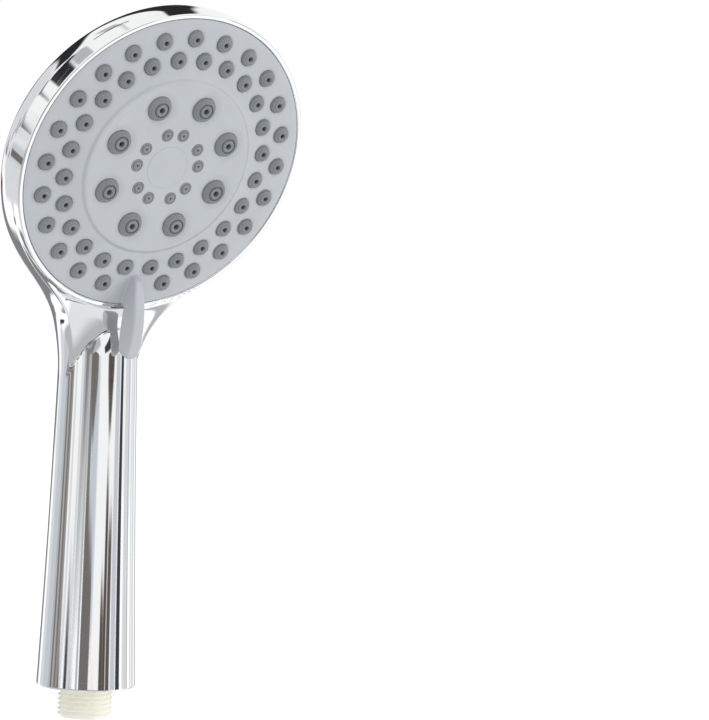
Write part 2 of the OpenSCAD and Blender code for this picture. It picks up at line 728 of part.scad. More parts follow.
module mist_nozzles() color("gray") at_face() around(MIST_ANGLES, mist_ring_r) difference() {
    union() {
        disc(mist_r, mist_back, mist_rim);
        disc(mist_boss_r, 0, mist_boss_h);
    }
    disc(core_r + fit, mist_back - over, -1.4);
    disc(mist_hole_r, -2, over, $fn = 16);
}

module swirl_cores() color("whitesmoke") at_face() around(MIST_ANGLES, mist_ring_r) difference() {
    disc(core_r, mist_back + 0.1, -1.5);
    for (a = [0, 180]) rotate(a) translate([core_r - 0.5, -0.3, mist_back]) cube([1, 0.6, 4]);
}

module at_port(k, r) rotate(-90 + k * click_angle) translate([r, 0, 0]) children();

module inlet_holes(low, high) {
    for (k = MIST_PORTS) at_port(k, mist_inlet_r) disc(inlet_hole_r, low, high);
    for (k = RAIN_PORTS) at_port(k, rain_inlet_r) disc(inlet_hole_r, low, high);
    for (k = POWER_PORTS) at_port(k, power_inlet_r) disc(inlet_hole_r, low, high);
}

module chamber_plate() color("lightgray") at_face() difference() {
    union() {
        disc(chamber_r, floor_back, floor_top, $fn = 128);
        disc(sleeve_r, floor_top - bite, sleeve_top);
        ring(mist_wall_r, bearing_r, floor_top - bite, -skin - fit);
        ring(power_wall_r, rain_wall_r, floor_top - bite, face_at(rain_wall_r) - skin - 2 * fit, $fn = 96);
        ring(rain_end_r, chamber_r, floor_top - bite, face_at(chamber_r) - skin - 2 * fit - mat_t, $fn = 128);
    }
    disc(sleeve_bore, floor_back - over, 0);
    around(SCREW_ANGLES, screw_ring_r) {
        disc(plate_screw_r + screw_play, floor_back - over, 0, $fn = 32);
        disc(boss_r + fit, boss_back - fit, 0, $fn = 32);
    }
    inlet_holes(floor_back - over, floor_top + over);
}

module chamber_seal() color("dimgray") at_face() difference() {
    ring(sleeve_bore + 1, port_plate_r, gasket_top - gasket_t, gasket_top, $fn = 96);
    around(SCREW_ANGLES, screw_ring_r) disc(plate_screw_r + 2 * screw_play, port_top, floor_top, $fn = 32);
    inlet_holes(port_back, floor_top);
}

module port_plate() color("lightgray") at_face() difference() {
    ring(sleeve_bore, port_plate_r, port_back, port_top, $fn = 96);
    for (k = PORTS) at_port(k, port_pitch_r) disc(port_r, port_back - over, port_top + over);
    for (k = MIST_PORTS) channel(k, mist_inlet_r, port_pitch_r);
    for (k = RAIN_PORTS) channel(k, port_pitch_r, rain_inlet_r);
    for (k = PORTS) rotate(90 + k * click_angle) translate([pin_pitch_r, 0, 0])
        disc(dimple_r, port_back - over, port_back + dimple_d);
    around(SCREW_ANGLES, screw_ring_r) {
        disc(plate_screw_r + screw_play, port_back - over, port_top + over, $fn = 32);
        disc(screw_head_r + pocket_play, port_back - over, port_back + screw_head_h + screw_play, $fn = 32);
    }
}
// Groove in the port plate's front from one radius to another
module channel(k, from, to) rotate(-90 + k * click_angle)
    translate([from, -channel_w / 2, port_top - channel_d]) cube([to - from, channel_w, channel_d + over]);

module plate_screws() color("silver") at_face() around(SCREW_ANGLES, screw_ring_r)
    translate([0, 0, port_back + 0.1]) difference() {
        rotate([180, 0, 0]) screw(screw_head_r, screw_head_h, plate_screw_r, boss_back + screw_bite - port_back);
        disc(0.6, -over, 0.5, $fn = 6);
    }

module jet_ring() color("lightgray") at_face() difference() {
    ring(bearing_r + ring_play, power_wall_r - ring_play, floor_top + fit, jet_top, $fn = 96);
    ring(power_ring_r - jet_duct_w / 2, power_ring_r + jet_duct_w / 2, floor_top - over, floor_top + jet_duct_d);
    for (a = [0:60:300]) rotate(a) translate([power_ring_r, 0, jet_top - jet_t / 2]) rotate([40, 0, 0])
        cylinder(r = jet_r, h = 8, center = true, $fn = 24);
}

module turbine() color("white") at_face() {
    r_in = bearing_r + turbine_gap;
    r_out = power_wall_r - rotor_rim_play;
    vane_in = r_in + rotor_hub_wall - rotor_bite;
    vane_out = r_out - rotor_rim_wall + rotor_bite;
    ring(r_in, r_in + rotor_hub_wall, turbine_back, turbine_top);
    difference() {
        ring(vane_in, r_out, turbine_top - shutter_t, turbine_top, $fn = 96);
        translate([-r_out - over, 0, turbine_back]) cube([2 * (r_out + over), r_out + over, turbine_h + over]);
    }
    for (i = [0:vane_count - 1]) rotate(i * 360 / vane_count)
        translate([vane_in, -vane_t / 2, turbine_back]) cube([vane_out - vane_in, vane_t, turbine_h - 0.5]);
    ring(r_out - rotor_rim_wall, r_out, turbine_back, turbine_top - 0.3);
}

outer_shell();
water_tube();
tube_o_rings();
inlet_filter();
flow_restrictor();
restrictor_o_ring();
valve_base();
base_screws();
hub_o_ring();
port_seal();
seal_spring();
detent_pin();
detent_spring();
hub_screw();
hub_washer();
face_plate();
centre_cap();
rain_nozzle_mat();
power_nozzle_mat();
mist_nozzles();
swirl_cores();
chamber_plate();
chamber_seal();
port_plate();
plate_screws();
jet_ring();
turbine();
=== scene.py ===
"""Looks of the handheld shower head: chrome body, turning spray face, soft nozzles and threaded inlet.

Lengths are in millimetres until a mesh is made, and in metres for the camera, floor, lamp and studio cards.
Face coordinates have their origin at the centre of the spray face: x to the right, v up the face, n out of
it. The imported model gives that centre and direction.
"""

import json
import math

import bpy
import numpy as np
from mathutils import Matrix, Vector
from mathutils.geometry import delaunay_2d_cdt


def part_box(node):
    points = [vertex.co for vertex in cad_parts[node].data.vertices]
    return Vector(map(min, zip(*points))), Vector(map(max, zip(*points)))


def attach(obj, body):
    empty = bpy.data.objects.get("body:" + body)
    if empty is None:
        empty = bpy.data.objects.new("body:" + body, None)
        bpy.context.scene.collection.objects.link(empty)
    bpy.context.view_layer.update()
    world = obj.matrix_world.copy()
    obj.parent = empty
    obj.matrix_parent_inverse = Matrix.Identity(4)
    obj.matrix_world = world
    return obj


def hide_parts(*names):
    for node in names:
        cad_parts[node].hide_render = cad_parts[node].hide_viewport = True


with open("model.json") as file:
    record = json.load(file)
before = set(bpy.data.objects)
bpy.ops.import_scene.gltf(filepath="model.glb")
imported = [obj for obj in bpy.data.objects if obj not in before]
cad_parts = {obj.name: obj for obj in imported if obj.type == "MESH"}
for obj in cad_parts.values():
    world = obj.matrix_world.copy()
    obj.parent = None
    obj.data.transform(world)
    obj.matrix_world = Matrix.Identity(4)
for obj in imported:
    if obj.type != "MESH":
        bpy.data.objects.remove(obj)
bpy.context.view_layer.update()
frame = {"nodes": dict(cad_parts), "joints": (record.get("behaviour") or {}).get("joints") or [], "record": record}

MM = 0.001
TAU = 2 * math.pi

# ---- Places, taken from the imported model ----

turn = next(joint for joint in frame["joints"] if joint["name"] == "selector_turn")
FACE = np.array(turn["pos_m"]) / MM
NORMAL = np.array(turn["axis"])
RIGHT = np.array([1.0, 0.0, 0.0])
UP = np.cross(NORMAL, RIGHT)
AXES = np.stack([RIGHT, UP, NORMAL])

HANDLE_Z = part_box("outer_shell")[0][2] / MM
HEAD_R = 60.0
LEVER_TIP = -75.8

# ---- Sizes of the body, as in the part's source ----

HANDLE_R = 18.9
HANDLE_TAPER = 0.0407
HANDLE_EASE = 0.0000741
TAPER_END = 150
SWELL_RISE = 141.5
SWELL_RATE = 0.015
SWELL_END = 60
NECK_RISE = 14.4
NECK_ROUND = 28.0
HEAD_DEPTH = 33.75
DOME_R = 180.0
DOME_SHIFT = 10.1
EDGE_ROUND = 10.0
RIM = -3.55
BLEND_FRONT = 6.0
BLEND_BACK = 35.5
BLEND_FROM = 2.35
BLEND_SPAN = 7.0
WALL = 2.2

# ---- Sizes of the face ----

RECESS_R = 58.12
PLATE_R = 58.0
EDGE_R = 56.3
DISC_R = 34.5
CAP_R = 8.35
MIST_R = 13.4
POWER_R = 25.4
MIDDLE_R = 42.3
OUTER_R = 50.5
SKIRT_BACK = -10.55
NOZZLE_HOLE = 3.26
POWER_HOLE = 4.84
MIST_HOLE = 2.45

# ---- Fineness of the meshes ----

FINE_SIDES = 240
HOLE_SIDES = 40
HOLE_ROLLS = 4
TINY = 1e-6


# ---- Mesh helpers ----

def to_world(points):
    """Face coordinates to the model's frame, in millimetres."""
    return FACE + np.asarray(points, float) @ AXES


def to_face(points):
    """The model's frame to face coordinates, in millimetres."""
    return (np.asarray(points, float) - FACE) @ AXES.T


def smooth_min(a, b, k):
    """The smaller of two fields, with a fillet of about size k where they meet."""
    h = np.clip(0.5 + 0.5 * (b - a) / k, 0, 1)
    return b * (1 - h) + a * h - k * h * (1 - h)


def smooth_max(a, b, k):
    """The larger of two fields, with a rounding of about size k where they meet."""
    return -smooth_min(-a, -b, k)


def smooth_step(x):
    x = np.clip(x, 0, 1)
    return x * x * (3 - 2 * x)


def gradient(field, points, eps=0.02):
    """Slope of a field, by differences on either side of each point."""
    slope = np.empty_like(points)
    for axis in range(3):
        shift = np.zeros(3)
        shift[axis] = eps
        slope[:, axis] = field(points + shift) - field(points - shift)
    return slope / (2 * eps)


def unit(vectors):
    return vectors / np.maximum(np.linalg.norm(vectors, axis=-1, keepdims=True), 1e-12)


def field_normals(field, points):
    """Outward directions at points on a field's zero surface."""
    return unit(gradient(field, points, 0.05))


class Part:
    """Points, faces and point normals that are put together into one mesh."""

    def __init__(self):
        self.points, self.normals, self.faces, self.count = [], [], [], 0

    def add(self, points, faces, normals):
        self.points.append(np.asarray(points, float))
        self.normals.append(np.asarray(normals, float))
        self.faces.extend([tuple(int(i) + self.count for i in face) for face in faces])
        self.count += len(points)

    def copies(self, shape, places):
        """Adds a (points, faces, normals) shape once for each (turn matrix, shift)."""
        points, faces, normals = shape
        for turn_by, shift in places:
            self.add(points @ turn_by.T + shift, faces, normals @ turn_by.T)

    def outward(self, points, normals):
        """The faces, each turned so that it looks the way its points' normals do."""
        faces = []
        for face in self.faces:
            a, b, c = points[face[0]], points[face[1]], points[face[2]]
            look = np.cross(b - a, c - a) @ normals[list(face)].sum(0)
            faces.append(face if look >= 0 else face[::-1])
        return faces

    def build(self, name, body, material, replaces=()):
        mesh = bpy.data.meshes.new(name)
        points = to_world(np.concatenate(self.points)) * MM
        normals = unit(np.concatenate(self.normals) @ AXES)
        mesh.from_pydata(points.tolist(), [], self.outward(points, normals))
        mesh.polygons.foreach_set("use_smooth", [True] * len(mesh.polygons))
        mesh.normals_split_custom_set_from_vertices(normals.tolist())
        mesh.materials.append(material)
        piece = bpy.data.objects.new(name, mesh)
        bpy.context.scene.collection.objects.link(piece)
        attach(piece, body)
        if replaces:
            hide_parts(*replaces)
        return piece


def surface_net(field, low, high, step):
    """Quads on the zero surface of a field, one point to each grid cell that the surface crosses."""
    axes = [np.arange(a, b + step, step) for a, b in zip(low, high)]
    value = field(np.stack(np.meshgrid(*axes, indexing="ij"), -1))
    cells = tuple(n - 1 for n in value.shape)

    def corner(offset):
        return value[tuple(slice(o, o + c) for o, c in zip(offset, cells))]

    total = np.zeros(cells + (3,))
    number = np.zeros(cells)
    for axis in range(3):
        b, c = (axis + 1) % 3, (axis + 2) % 3
        for i in (0, 1):
            for j in (0, 1):
                start = [0, 0, 0]
                start[b], start[c] = i, j
                end = list(start)
                end[axis] = 1
                near, far = corner(start), corner(end)
                cross = (near < 0) != (far < 0)
                spot = np.broadcast_to(np.array(start, float), cells + (3,)).copy()
                spot[..., axis] = np.where(cross, near / np.where(cross, near - far, 1), 0)
                total += spot * cross[..., None]
                number += cross
    used = number > 0
    index = np.full(cells, -1)
    index[used] = np.arange(used.sum())
    place = np.stack(np.nonzero(used), -1) + total[used] / number[used][:, None]
    points = np.array(low) + place * step

    faces = []
    inside = value < 0
    for axis in range(3):
        b, c = (axis + 1) % 3, (axis + 2) % 3
        first = [slice(1, n - 1) for n in value.shape]
        first[axis] = slice(0, value.shape[axis] - 1)
        second = list(first)
        second[axis] = slice(1, value.shape[axis])
        change = inside[tuple(first)] != inside[tuple(second)]
        outward = inside[tuple(first)][change]
        where = np.stack(np.nonzero(change), -1)
        where[:, b] += 1
        where[:, c] += 1
        ring = []
        for di, dj in ((1, 1), (0, 1), (0, 0), (1, 0)):
            cell = where.copy()
            cell[:, b] -= di
            cell[:, c] -= dj
            ring.append(index[cell[:, 0], cell[:, 1], cell[:, 2]])
        ring = np.stack(ring, -1)
        ring[~outward] = ring[~outward][:, ::-1]
        faces.append(ring)
    return points, np.concatenate(faces)


def settle(field, points, rounds=5, least_slope=0.05, longest_move=0.5):
    """Moves points along the field's slope until they lie on its zero surface."""
    for _ in range(rounds):
        slope = gradient(field, points)
        size = np.maximum((slope ** 2).sum(-1, keepdims=True), least_slope)
        points = points - np.clip(field(points)[:, None] / size, -longest_move, longest_move) * slope
    return points


def compact(points, faces, keep):
    """Drops the faces that aren't kept, and the points that nothing uses."""
    faces = faces[keep]
    used = np.unique(faces)
    renumber = np.full(len(points), -1)
    renumber[used] = np.arange(len(used))
    return points[used], renumber[faces]


def rounded(outline, steps=5):
    """Half profile with rounded corners: (radius, height, rounding) to points and their normals.
    The outside lies to the right of the path. A corner without rounding is sharp."""
    spots = [np.array(p[:2], float) for p in outline]
    points, normals = [], []

    def side(a, b):
        d = (b - a) / np.linalg.norm(b - a)
        return np.array([d[1], -d[0]])

    for i, spot in enumerate(spots):
        before = side(spots[i - 1], spot) if i else None
        after = side(spot, spots[i + 1]) if i < len(spots) - 1 else None
        size = outline[i][2] if len(outline[i]) > 2 else 0
        if before is None or after is None:
            points.append(spot)
            normals.append(after if before is None else before)
        elif size == 0:
            points += [spot, spot]
            normals += [before, after]
        else:
            into = (spot - spots[i - 1]) / np.linalg.norm(spot - spots[i - 1])
            away = (spots[i + 1] - spot) / np.linalg.norm(spots[i + 1] - spot)
            half = math.acos(max(-1, min(1, float(into @ away)))) / 2
            back = size * math.tan(half)
            start = spot - into * back
            bend = 1 if into[0] * away[1] - into[1] * away[0] > 0 else -1
            centre = start - bend * size * before
            for k in range(steps + 1):
                angle = bend * 2 * half * k / steps
                c, s = math.cos(angle), math.sin(angle)
                n = np.array([before[0] * c - before[1] * s, before[0] * s + before[1] * c])
                points.append(centre + bend * size * n)
                normals.append(n)
    return np.array(points), np.array(normals)


def revolve(outline, sides=48, steps=5):
    """Surface of revolution about n, from a rounded half profile."""
    profile, slope = rounded(outline, steps)
    angle = np.arange(sides) * TAU / sides
    c, s = np.cos(angle), np.sin(angle)
    points = np.stack([profile[:, :1] * c, profile[:, :1] * s, np.repeat(profile[:, 1:], sides, 1)], -1)
    normals = np.stack([slope[:, :1] * c, slope[:, :1] * s, np.repeat(slope[:, 1:], sides, 1)], -1)
    faces = []
    for j in range(len(profile) - 1):
        if np.linalg.norm(profile[j + 1] - profile[j]) < TINY:
            continue
        for i in range(sides):
            k = (i + 1) % sides
            quad = [j * sides + i, j * sides + k, (j + 1) * sides + k, (j + 1) * sides + i]
            if profile[j + 1][0] < TINY:
                quad = quad[:2] + [(j + 1) * sides + i]
            if profile[j][0] < TINY:
                quad = [quad[0]] + quad[2:]
            faces.append(quad)
    return points.reshape(-1, 3), faces, normals.reshape(-1, 3)


def upright(shape):
    """A shape made about the handle's axis, in face coordinates."""
    points, faces, normals = shape
    return to_face(points), faces, normals @ AXES.T


def tube_faces(rows, sides):
    """Faces between rows of points that each go round once."""
    faces = []
    for j in range(rows - 1):
        for i in range(sides):
            k = (i + 1) % sides
            faces.append((j * sides + i, j * sides + k, (j + 1) * sides + k, (j + 1) * sides + i))
    return faces


def turned(angle):
    c, s = math.cos(angle), math.sin(angle)
    return np.array([[c, -s, 0], [s, c, 0], [0, 0, 1]])


def around(angles, radius, level):
    """Places for copies on a circle round the face's centre, at angles in degrees."""
    turns = [turned(math.radians(a)) for a in angles]
    return [(turn_by, turn_by @ np.array([radius, 0, level])) for turn_by in turns]


# ---- Materials ----

# The middle of a noise, where most of its values lie
NOISE_LOW = 0.3
NOISE_HIGH = 0.7


def new_material(name):
    material = bpy.data.materials.new(name)
    material.use_nodes = True
    nodes = material.node_tree.nodes
    return material, nodes, material.node_tree.links, nodes["Principled BSDF"]


def noise(nodes, links, scale, detail=3.0):
    """Noise in the model's own coordinates, with scale in features per metre."""
    place = nodes.new("ShaderNodeTexCoord")
    texture = nodes.new("ShaderNodeTexNoise")
    texture.inputs["Scale"].default_value = scale
    texture.inputs["Detail"].default_value = detail
    links.new(place.outputs["Object"], texture.inputs["Vector"])
    return texture.outputs["Fac"]


def spread(nodes, links, value, low, high):
    """Maps the middle of a noise to a range."""
    node = nodes.new("ShaderNodeMapRange")
    node.inputs["From Min"].default_value = NOISE_LOW
    node.inputs["From Max"].default_value = NOISE_HIGH
    node.inputs["To Min"].default_value = low
    node.inputs["To Max"].default_value = high
    links.new(value, node.inputs["Value"])
    return node.outputs["Result"]


def tint(nodes, links, value, dark, light):
    """Colour between two close tones."""
    ramp = nodes.new("ShaderNodeValToRGB")
    first, last = ramp.color_ramp.elements[0], ramp.color_ramp.elements[1]
    first.position = NOISE_LOW
    first.color = (*dark, 1)
    last.position = NOISE_HIGH
    last.color = (*light, 1)
    links.new(value, ramp.inputs["Fac"])
    return ramp.outputs["Color"]


def bump(nodes, links, shader, height, distance, strength):
    """Fine relief from a height between 0 and 1, with its depth in metres."""
    node = nodes.new("ShaderNodeBump")
    node.inputs["Distance"].default_value = distance
    node.inputs["Strength"].default_value = strength
    links.new(height, node.inputs["Height"])
    links.new(node.outputs["Normal"], shader.inputs["Normal"])


def plated(name, tone, rough, grain):
    """Polished plating: even colour, faint haze, and the slight unevenness of the moulding below."""
    material, nodes, links, shader = new_material(name)
    shader.inputs["Metallic"].default_value = 1
    dark = tuple(c * 0.97 for c in tone)
    links.new(tint(nodes, links, noise(nodes, links, 60), dark, tone), shader.inputs["Base Color"])
    haze = spread(nodes, links, noise(nodes, links, 350, 6), rough * 0.7, rough * 1.4)
    links.new(haze, shader.inputs["Roughness"])
    bump(nodes, links, shader, noise(nodes, links, 45, 1), 0.0001, grain)
    return material


def moulded(name, tone, rough, vary=0.05, grain=0.15):
    """Moulded plastic or rubber: faint clouding in colour and gloss, and a fine moulded grain."""
    material, nodes, links, shader = new_material(name)
    dark = tuple(c * (1 - vary) for c in tone)
    light = tuple(min(1, c * (1 + vary)) for c in tone)
    links.new(tint(nodes, links, noise(nodes, links, 90, 5), dark, light), shader.inputs["Base Color"])
    gloss = spread(nodes, links, noise(nodes, links, 400, 4), rough * 0.85, rough * 1.15)
    links.new(gloss, shader.inputs["Roughness"])
    bump(nodes, links, shader, noise(nodes, links, 2500, 2), 0.00002, grain)
    return material


chrome = plated("chrome", (0.90, 0.905, 0.91), 0.03, 0.05)
steel = plated("steel", (0.62, 0.62, 0.63), 0.25, 0.2)
face_grey = moulded("face_grey", (0.535, 0.555, 0.582), 0.34, 0.02, 0.12)
silicone = moulded("nozzle_silicone", (0.24, 0.25, 0.266), 0.55, 0.05, 0.2)
mist_grey = moulded("mist_grey", (0.275, 0.286, 0.306), 0.42, 0.04, 0.12)
cream = moulded("cream_plastic", (0.98, 0.96, 0.86), 0.38, 0.025, 0.15)
natural = moulded("inner_plastic", (0.64, 0.64, 0.61), 0.5)
acetal = moulded("white_plastic", (0.82, 0.82, 0.79), 0.45)
blue = moulded("blue_plastic", (0.04, 0.11, 0.34), 0.45)
rubber = moulded("black_rubber", (0.015, 0.015, 0.016), 0.6)
# Near-black paint for the painted shade deep inside the outlets
painted_shade_bore = moulded("painted_shade_bore", (0.012, 0.012, 0.014), 0.7)

SLOTS = {"chrome": chrome, "steel": steel, "face_grey": face_grey, "nozzle_silicone": silicone,
         "mist_grey": mist_grey, "cream_plastic": cream, "inner_plastic": natural, "white_plastic": acetal,
         "blue_plastic": blue, "black_rubber": rubber}

# The nodes that are carried over as they are
for row in frame["record"]["subparts"]:
    mesh = frame["nodes"][row["node"]].data
    mesh.materials.clear()
    mesh.materials.append(SLOTS[row["material_slot"]])


# ---- Chrome body ----

def handle_radius(z):
    """Radius of the handle at a height: a tapered grip that swells toward the neck."""
    t = np.minimum(z - HANDLE_Z, TAPER_END)
    s = np.clip(z - HANDLE_Z - SWELL_RISE, 0, SWELL_END)
    return HANDLE_R - HANDLE_TAPER * t + HANDLE_EASE * t ** 2 + SWELL_RATE * s ** 2


def body_field(q):
    """Distance to the body's outer form, in face coordinates. Head and handle flow into each other."""
    x, v, n = q[..., 0], q[..., 1], q[..., 2]
    y = FACE[1] + v * UP[1] + n * NORMAL[1]
    z = FACE[2] + v * UP[2] + n * NORMAL[2]
    dome = np.sqrt(x ** 2 + (v + DOME_SHIFT) ** 2 + (n - DOME_R + HEAD_DEPTH) ** 2) - DOME_R
    head = np.maximum(smooth_max(np.hypot(x, v) - HEAD_R, dome, EDGE_ROUND), n - RIM)
    top = z - HANDLE_Z - SWELL_RISE - NECK_RISE
    handle = smooth_max(np.hypot(x, y) - handle_radius(z), top, NECK_ROUND)
    k = BLEND_FRONT + (BLEND_BACK - BLEND_FRONT) * smooth_step((-n - BLEND_FROM) / BLEND_SPAN)
    return smooth_min(head, handle, k)


def height(q):
    """Height in the model's frame of points in face coordinates."""
    return FACE[2] + q[..., 1] * UP[2] + q[..., 2] * NORMAL[2]


def skin_field(q):
    """The body's outer form, cut off at the seam."""
    return np.maximum(body_field(q), HANDLE_Z + SEAM - height(q))


# The skin starts at this height over the handle's end, and a rounded ring closes it below
SEAM = 2.0
LIP_DEPTH = 3.0

# Grid that the skin is made on
SKIN_LOW = (-61, -209, -45)
SKIN_HIGH = (61, 61, 54)
SKIN_CELL = 1.0

points, faces = surface_net(skin_field, SKIN_LOW, SKIN_HIGH, SKIN_CELL)
points = settle(skin_field, points)

# The skin stays open at the spray face and at the handle's end, where the lip and the ring go on
middle = points[faces].mean(1)
r = np.hypot(middle[:, 0], middle[:, 1])
v, n = middle[:, 1], middle[:, 2]
front = (r < HEAD_R - 0.6) & (n > RIM - 0.7) & (n < RIM + 1) & (v > -60)
lip = (r < HEAD_R + 0.4) & (n > RIM - 1.6) & (v > -50)
end = height(middle) < HANDLE_Z + SEAM + 0.15
points, faces = compact(points, faces, ~(front | lip | end))
shell = Part()
shell.add(points, faces, field_normals(body_field, points))

# Lip round the spray face, with the wall of its recess
shell.add(*revolve([(HEAD_R - 0.3, RIM - LIP_DEPTH - 0.4), (HEAD_R + 0.03, RIM - LIP_DEPTH, 0.2),
                    (HEAD_R + 0.03, RIM, 0.6), (RECESS_R, RIM, 0.55), (RECESS_R, SKIRT_BACK - 1)],
                   FINE_SIDES, 6))

# Rounded lower end of the handle, about the handle's own axis
END_IN = HANDLE_R - WALL
RING_TOP = HANDLE_Z + SEAM + 1.5
RING_OVER = 0.04
shell.add(*upright(revolve([(END_IN, HANDLE_Z + 4), (END_IN, HANDLE_Z, 0.4),
                            (handle_radius(HANDLE_Z) + RING_OVER, HANDLE_Z, 1),
                            (handle_radius(RING_TOP) + RING_OVER, RING_TOP), (HANDLE_R - 1, RING_TOP + 0.1)],
                           128, 6)))
shell.build("chrome_shell", "body", chrome, ("outer_shell",))


# ---- Spray plate ----

# Heights of the plate's front at radii from its centre, and the shifts over which its corners are softened
FIELD_R = (0, DISC_R, DISC_R + 0.6, MIDDLE_R, OUTER_R, EDGE_R, PLATE_R)
FIELD_H = (0, 0, -0.85, -2.2, -2.9, -3.4, -3.5)
SOFTEN = np.linspace(-1, 1, 9) * 0.25

# Shallow dish round a large nozzle, narrow well round a small one, and the rolled edge of every hole
DISH_DEPTH = 0.35
DISH_WIDTH = 2.8
WELL_DEPTH = 0.2
WELL_WIDTH = 0.8
EDGE_ROLL = 0.2
HOLE_DEPTH = 2.1

# Nozzles in each ring, with angles in degrees. The outer ring leaves out the place of the lever.
RING_COUNT = 24
POWER_COUNT = 8
MIST_PAIRS = 5
MIST_SPREAD = 15

STEP = 360 / RING_COUNT
OUTER_ANGLES = [-90 + STEP * i for i in range(1, RING_COUNT)]
MIDDLE_ANGLES = [-90 + STEP * (i + 0.5) for i in range(RING_COUNT)]
POWER_ANGLES = [-90 + 360 / POWER_COUNT * (i + 0.5) for i in range(POWER_COUNT)]
MIST_ANGLES = [90 + 360 / MIST_PAIRS * i + side * MIST_SPREAD for i in range(MIST_PAIRS) for side in (-1, 1)]


def spots(angles, radius):
    """Centres on a circle round the face's centre, at angles in degrees."""
    return [(radius * math.cos(math.radians(a)), radius * math.sin(math.radians(a))) for a in angles]


# Every hole in the plate: its centre and radius. The cap's hole is the last.
HOLES = ([(x, v, NOZZLE_HOLE) for x, v in spots(OUTER_ANGLES, OUTER_R) + spots(MIDDLE_ANGLES, MIDDLE_R)]
         + [(x, v, POWER_HOLE) for x, v in spots(POWER_ANGLES, POWER_R)]
         + [(x, v, MIST_HOLE) for x, v in spots(MIST_ANGLES, MIST_R)] + [(0, 0, CAP_R + 0.02)])


def field_height(x, v):
    """Height of the plate's front without dishes: disc, soft step and sloping field."""
    r = np.hypot(x, v)
    return sum(np.interp(r + d, FIELD_R, FIELD_H) for d in SOFTEN) / len(SOFTEN)


def plate_height(x, v):
    """Height of the plate's front with the shallow dish or well round each nozzle."""
    h = field_height(x, v)
    for cx, cv, hole in HOLES:
        if hole == POWER_HOLE:
            h = h - DISH_DEPTH * (1 - smooth_step((np.hypot(x - cx, v - cv) - hole) / DISH_WIDTH))
        elif hole == NOZZLE_HOLE:
            h = h - WELL_DEPTH * (1 - smooth_step((np.hypot(x - cx, v - cv) - hole) / WELL_WIDTH))
    return h


def plate_normal(x, v, eps=0.02):
    slope_x = (plate_height(x + eps, v) - plate_height(x - eps, v)) / (2 * eps)
    slope_v = (plate_height(x, v + eps) - plate_height(x, v - eps)) / (2 * eps)
    return unit(np.stack([-slope_x, -slope_v, np.ones_like(slope_x)], -1))


def circle(radius, sides, cx=0.0, cv=0.0):
    angle = np.arange(sides) * TAU / sides
    return np.stack([cx + radius * np.cos(angle), cv + radius * np.sin(angle)], -1)


# Circles of points on the plate: the first one, the gap between them and the gap between their points
FIRST_RING = 9.6
RING_GAP = 1.15
SPOT_GAP = 1.3


def plate_front():
    """The plate's front with its holes, as triangles between circles of points."""
    loops = [circle(EDGE_R, FINE_SIDES)]
    loops += [circle(hole + EDGE_ROLL, HOLE_SIDES, cx, cv) for cx, cv, hole in HOLES]
    rings = np.arange(FIRST_RING, EDGE_R - 0.5, RING_GAP)
    free = [circle(r, max(24, int(TAU * r / SPOT_GAP))) for r in rings]
    for cx, cv, hole in HOLES[:-1]:
        free += [circle(hole + EDGE_ROLL + d, HOLE_SIDES, cx, cv) for d in (0.45, 0.95)]
    for cx, cv in spots(POWER_ANGLES, POWER_R):
        free += [circle(POWER_HOLE + EDGE_ROLL + d, HOLE_SIDES, cx, cv) for d in (1.5, 2.1, 2.8)]
    free = np.concatenate(free)
    clear = np.hypot(free[:, 0], free[:, 1]) < EDGE_R - 0.4
    for cx, cv, hole in HOLES:
        clear &= np.hypot(free[:, 0] - cx, free[:, 1] - cv) > hole + EDGE_ROLL + 0.3
    points, edges = [], []
    for loop in loops:
        start = len(points)
        points += loop.tolist()
        edges += [(start + i, start + (i + 1) % len(loop)) for i in range(len(loop))]
    points += free[clear].tolist()
    found = delaunay_2d_cdt([Vector(p) for p in points], edges, [], 0, 1e-5)
    flat = np.array([tuple(p) for p in found[0]])
    faces = np.array([tuple(f) for f in found[2]])
    middle = flat[faces].mean(1)
    keep = np.hypot(middle[:, 0], middle[:, 1]) < EDGE_R
    for cx, cv, hole in HOLES:
        clear_r = (hole + EDGE_ROLL) * math.cos(math.pi / HOLE_SIDES)
        keep &= np.hypot(middle[:, 0] - cx, middle[:, 1] - cv) > clear_r
    flat, faces = compact(flat, faces, keep)
    x, v = flat.T
    return np.stack([x, v, plate_height(x, v)], -1), faces, plate_normal(x, v)


def hole_wall(cx, cv, hole):
    """Rolled edge and wall of one hole, down from the plate's front."""
    rim = circle(hole + EDGE_ROLL, HOLE_SIDES, cx, cv)
    top = plate_height(rim[:, 0], rim[:, 1])
    out = (rim - (cx, cv)) / (hole + EDGE_ROLL)
    outward = np.column_stack([out, np.zeros(HOLE_SIDES)])
    straight_up = np.array([[0, 0, 1.0]]).repeat(HOLE_SIDES, 0)
    points, normals = [], []
    for k in range(HOLE_ROLLS + 2):
        t = min(k / HOLE_ROLLS, 1) * math.pi / 2
        drop = EDGE_ROLL * (1 - math.cos(t)) if k <= HOLE_ROLLS else HOLE_DEPTH
        spot = rim - out * EDGE_ROLL * math.sin(t)
        points.append(np.column_stack([spot, top - drop]))
        upward = plate_normal(rim[:, 0], rim[:, 1]) if k == 0 else straight_up
        normals.append(unit(math.cos(t) * upward - math.sin(t) * outward))
    return np.concatenate(points), tube_faces(HOLE_ROLLS + 2, HOLE_SIDES), np.concatenate(normals)


# ---- Lever: a tongue that rises from the plate, runs past its edge and drops at the tip ----

# Height and place of its highest point, its end on the face, how the top sinks toward the face (rise) and
# toward the tip (fall), and how it leans there
LEVER_TOP = 9.2
LEVER_CREST_V = -69
LEVER_START = -46.0
TOP_RISE = 1.855
TOP_BEND = 1.8
TOP_FALL = 1.2
RISE_LEAN = 0.334
FALL_LEAN = 0.24

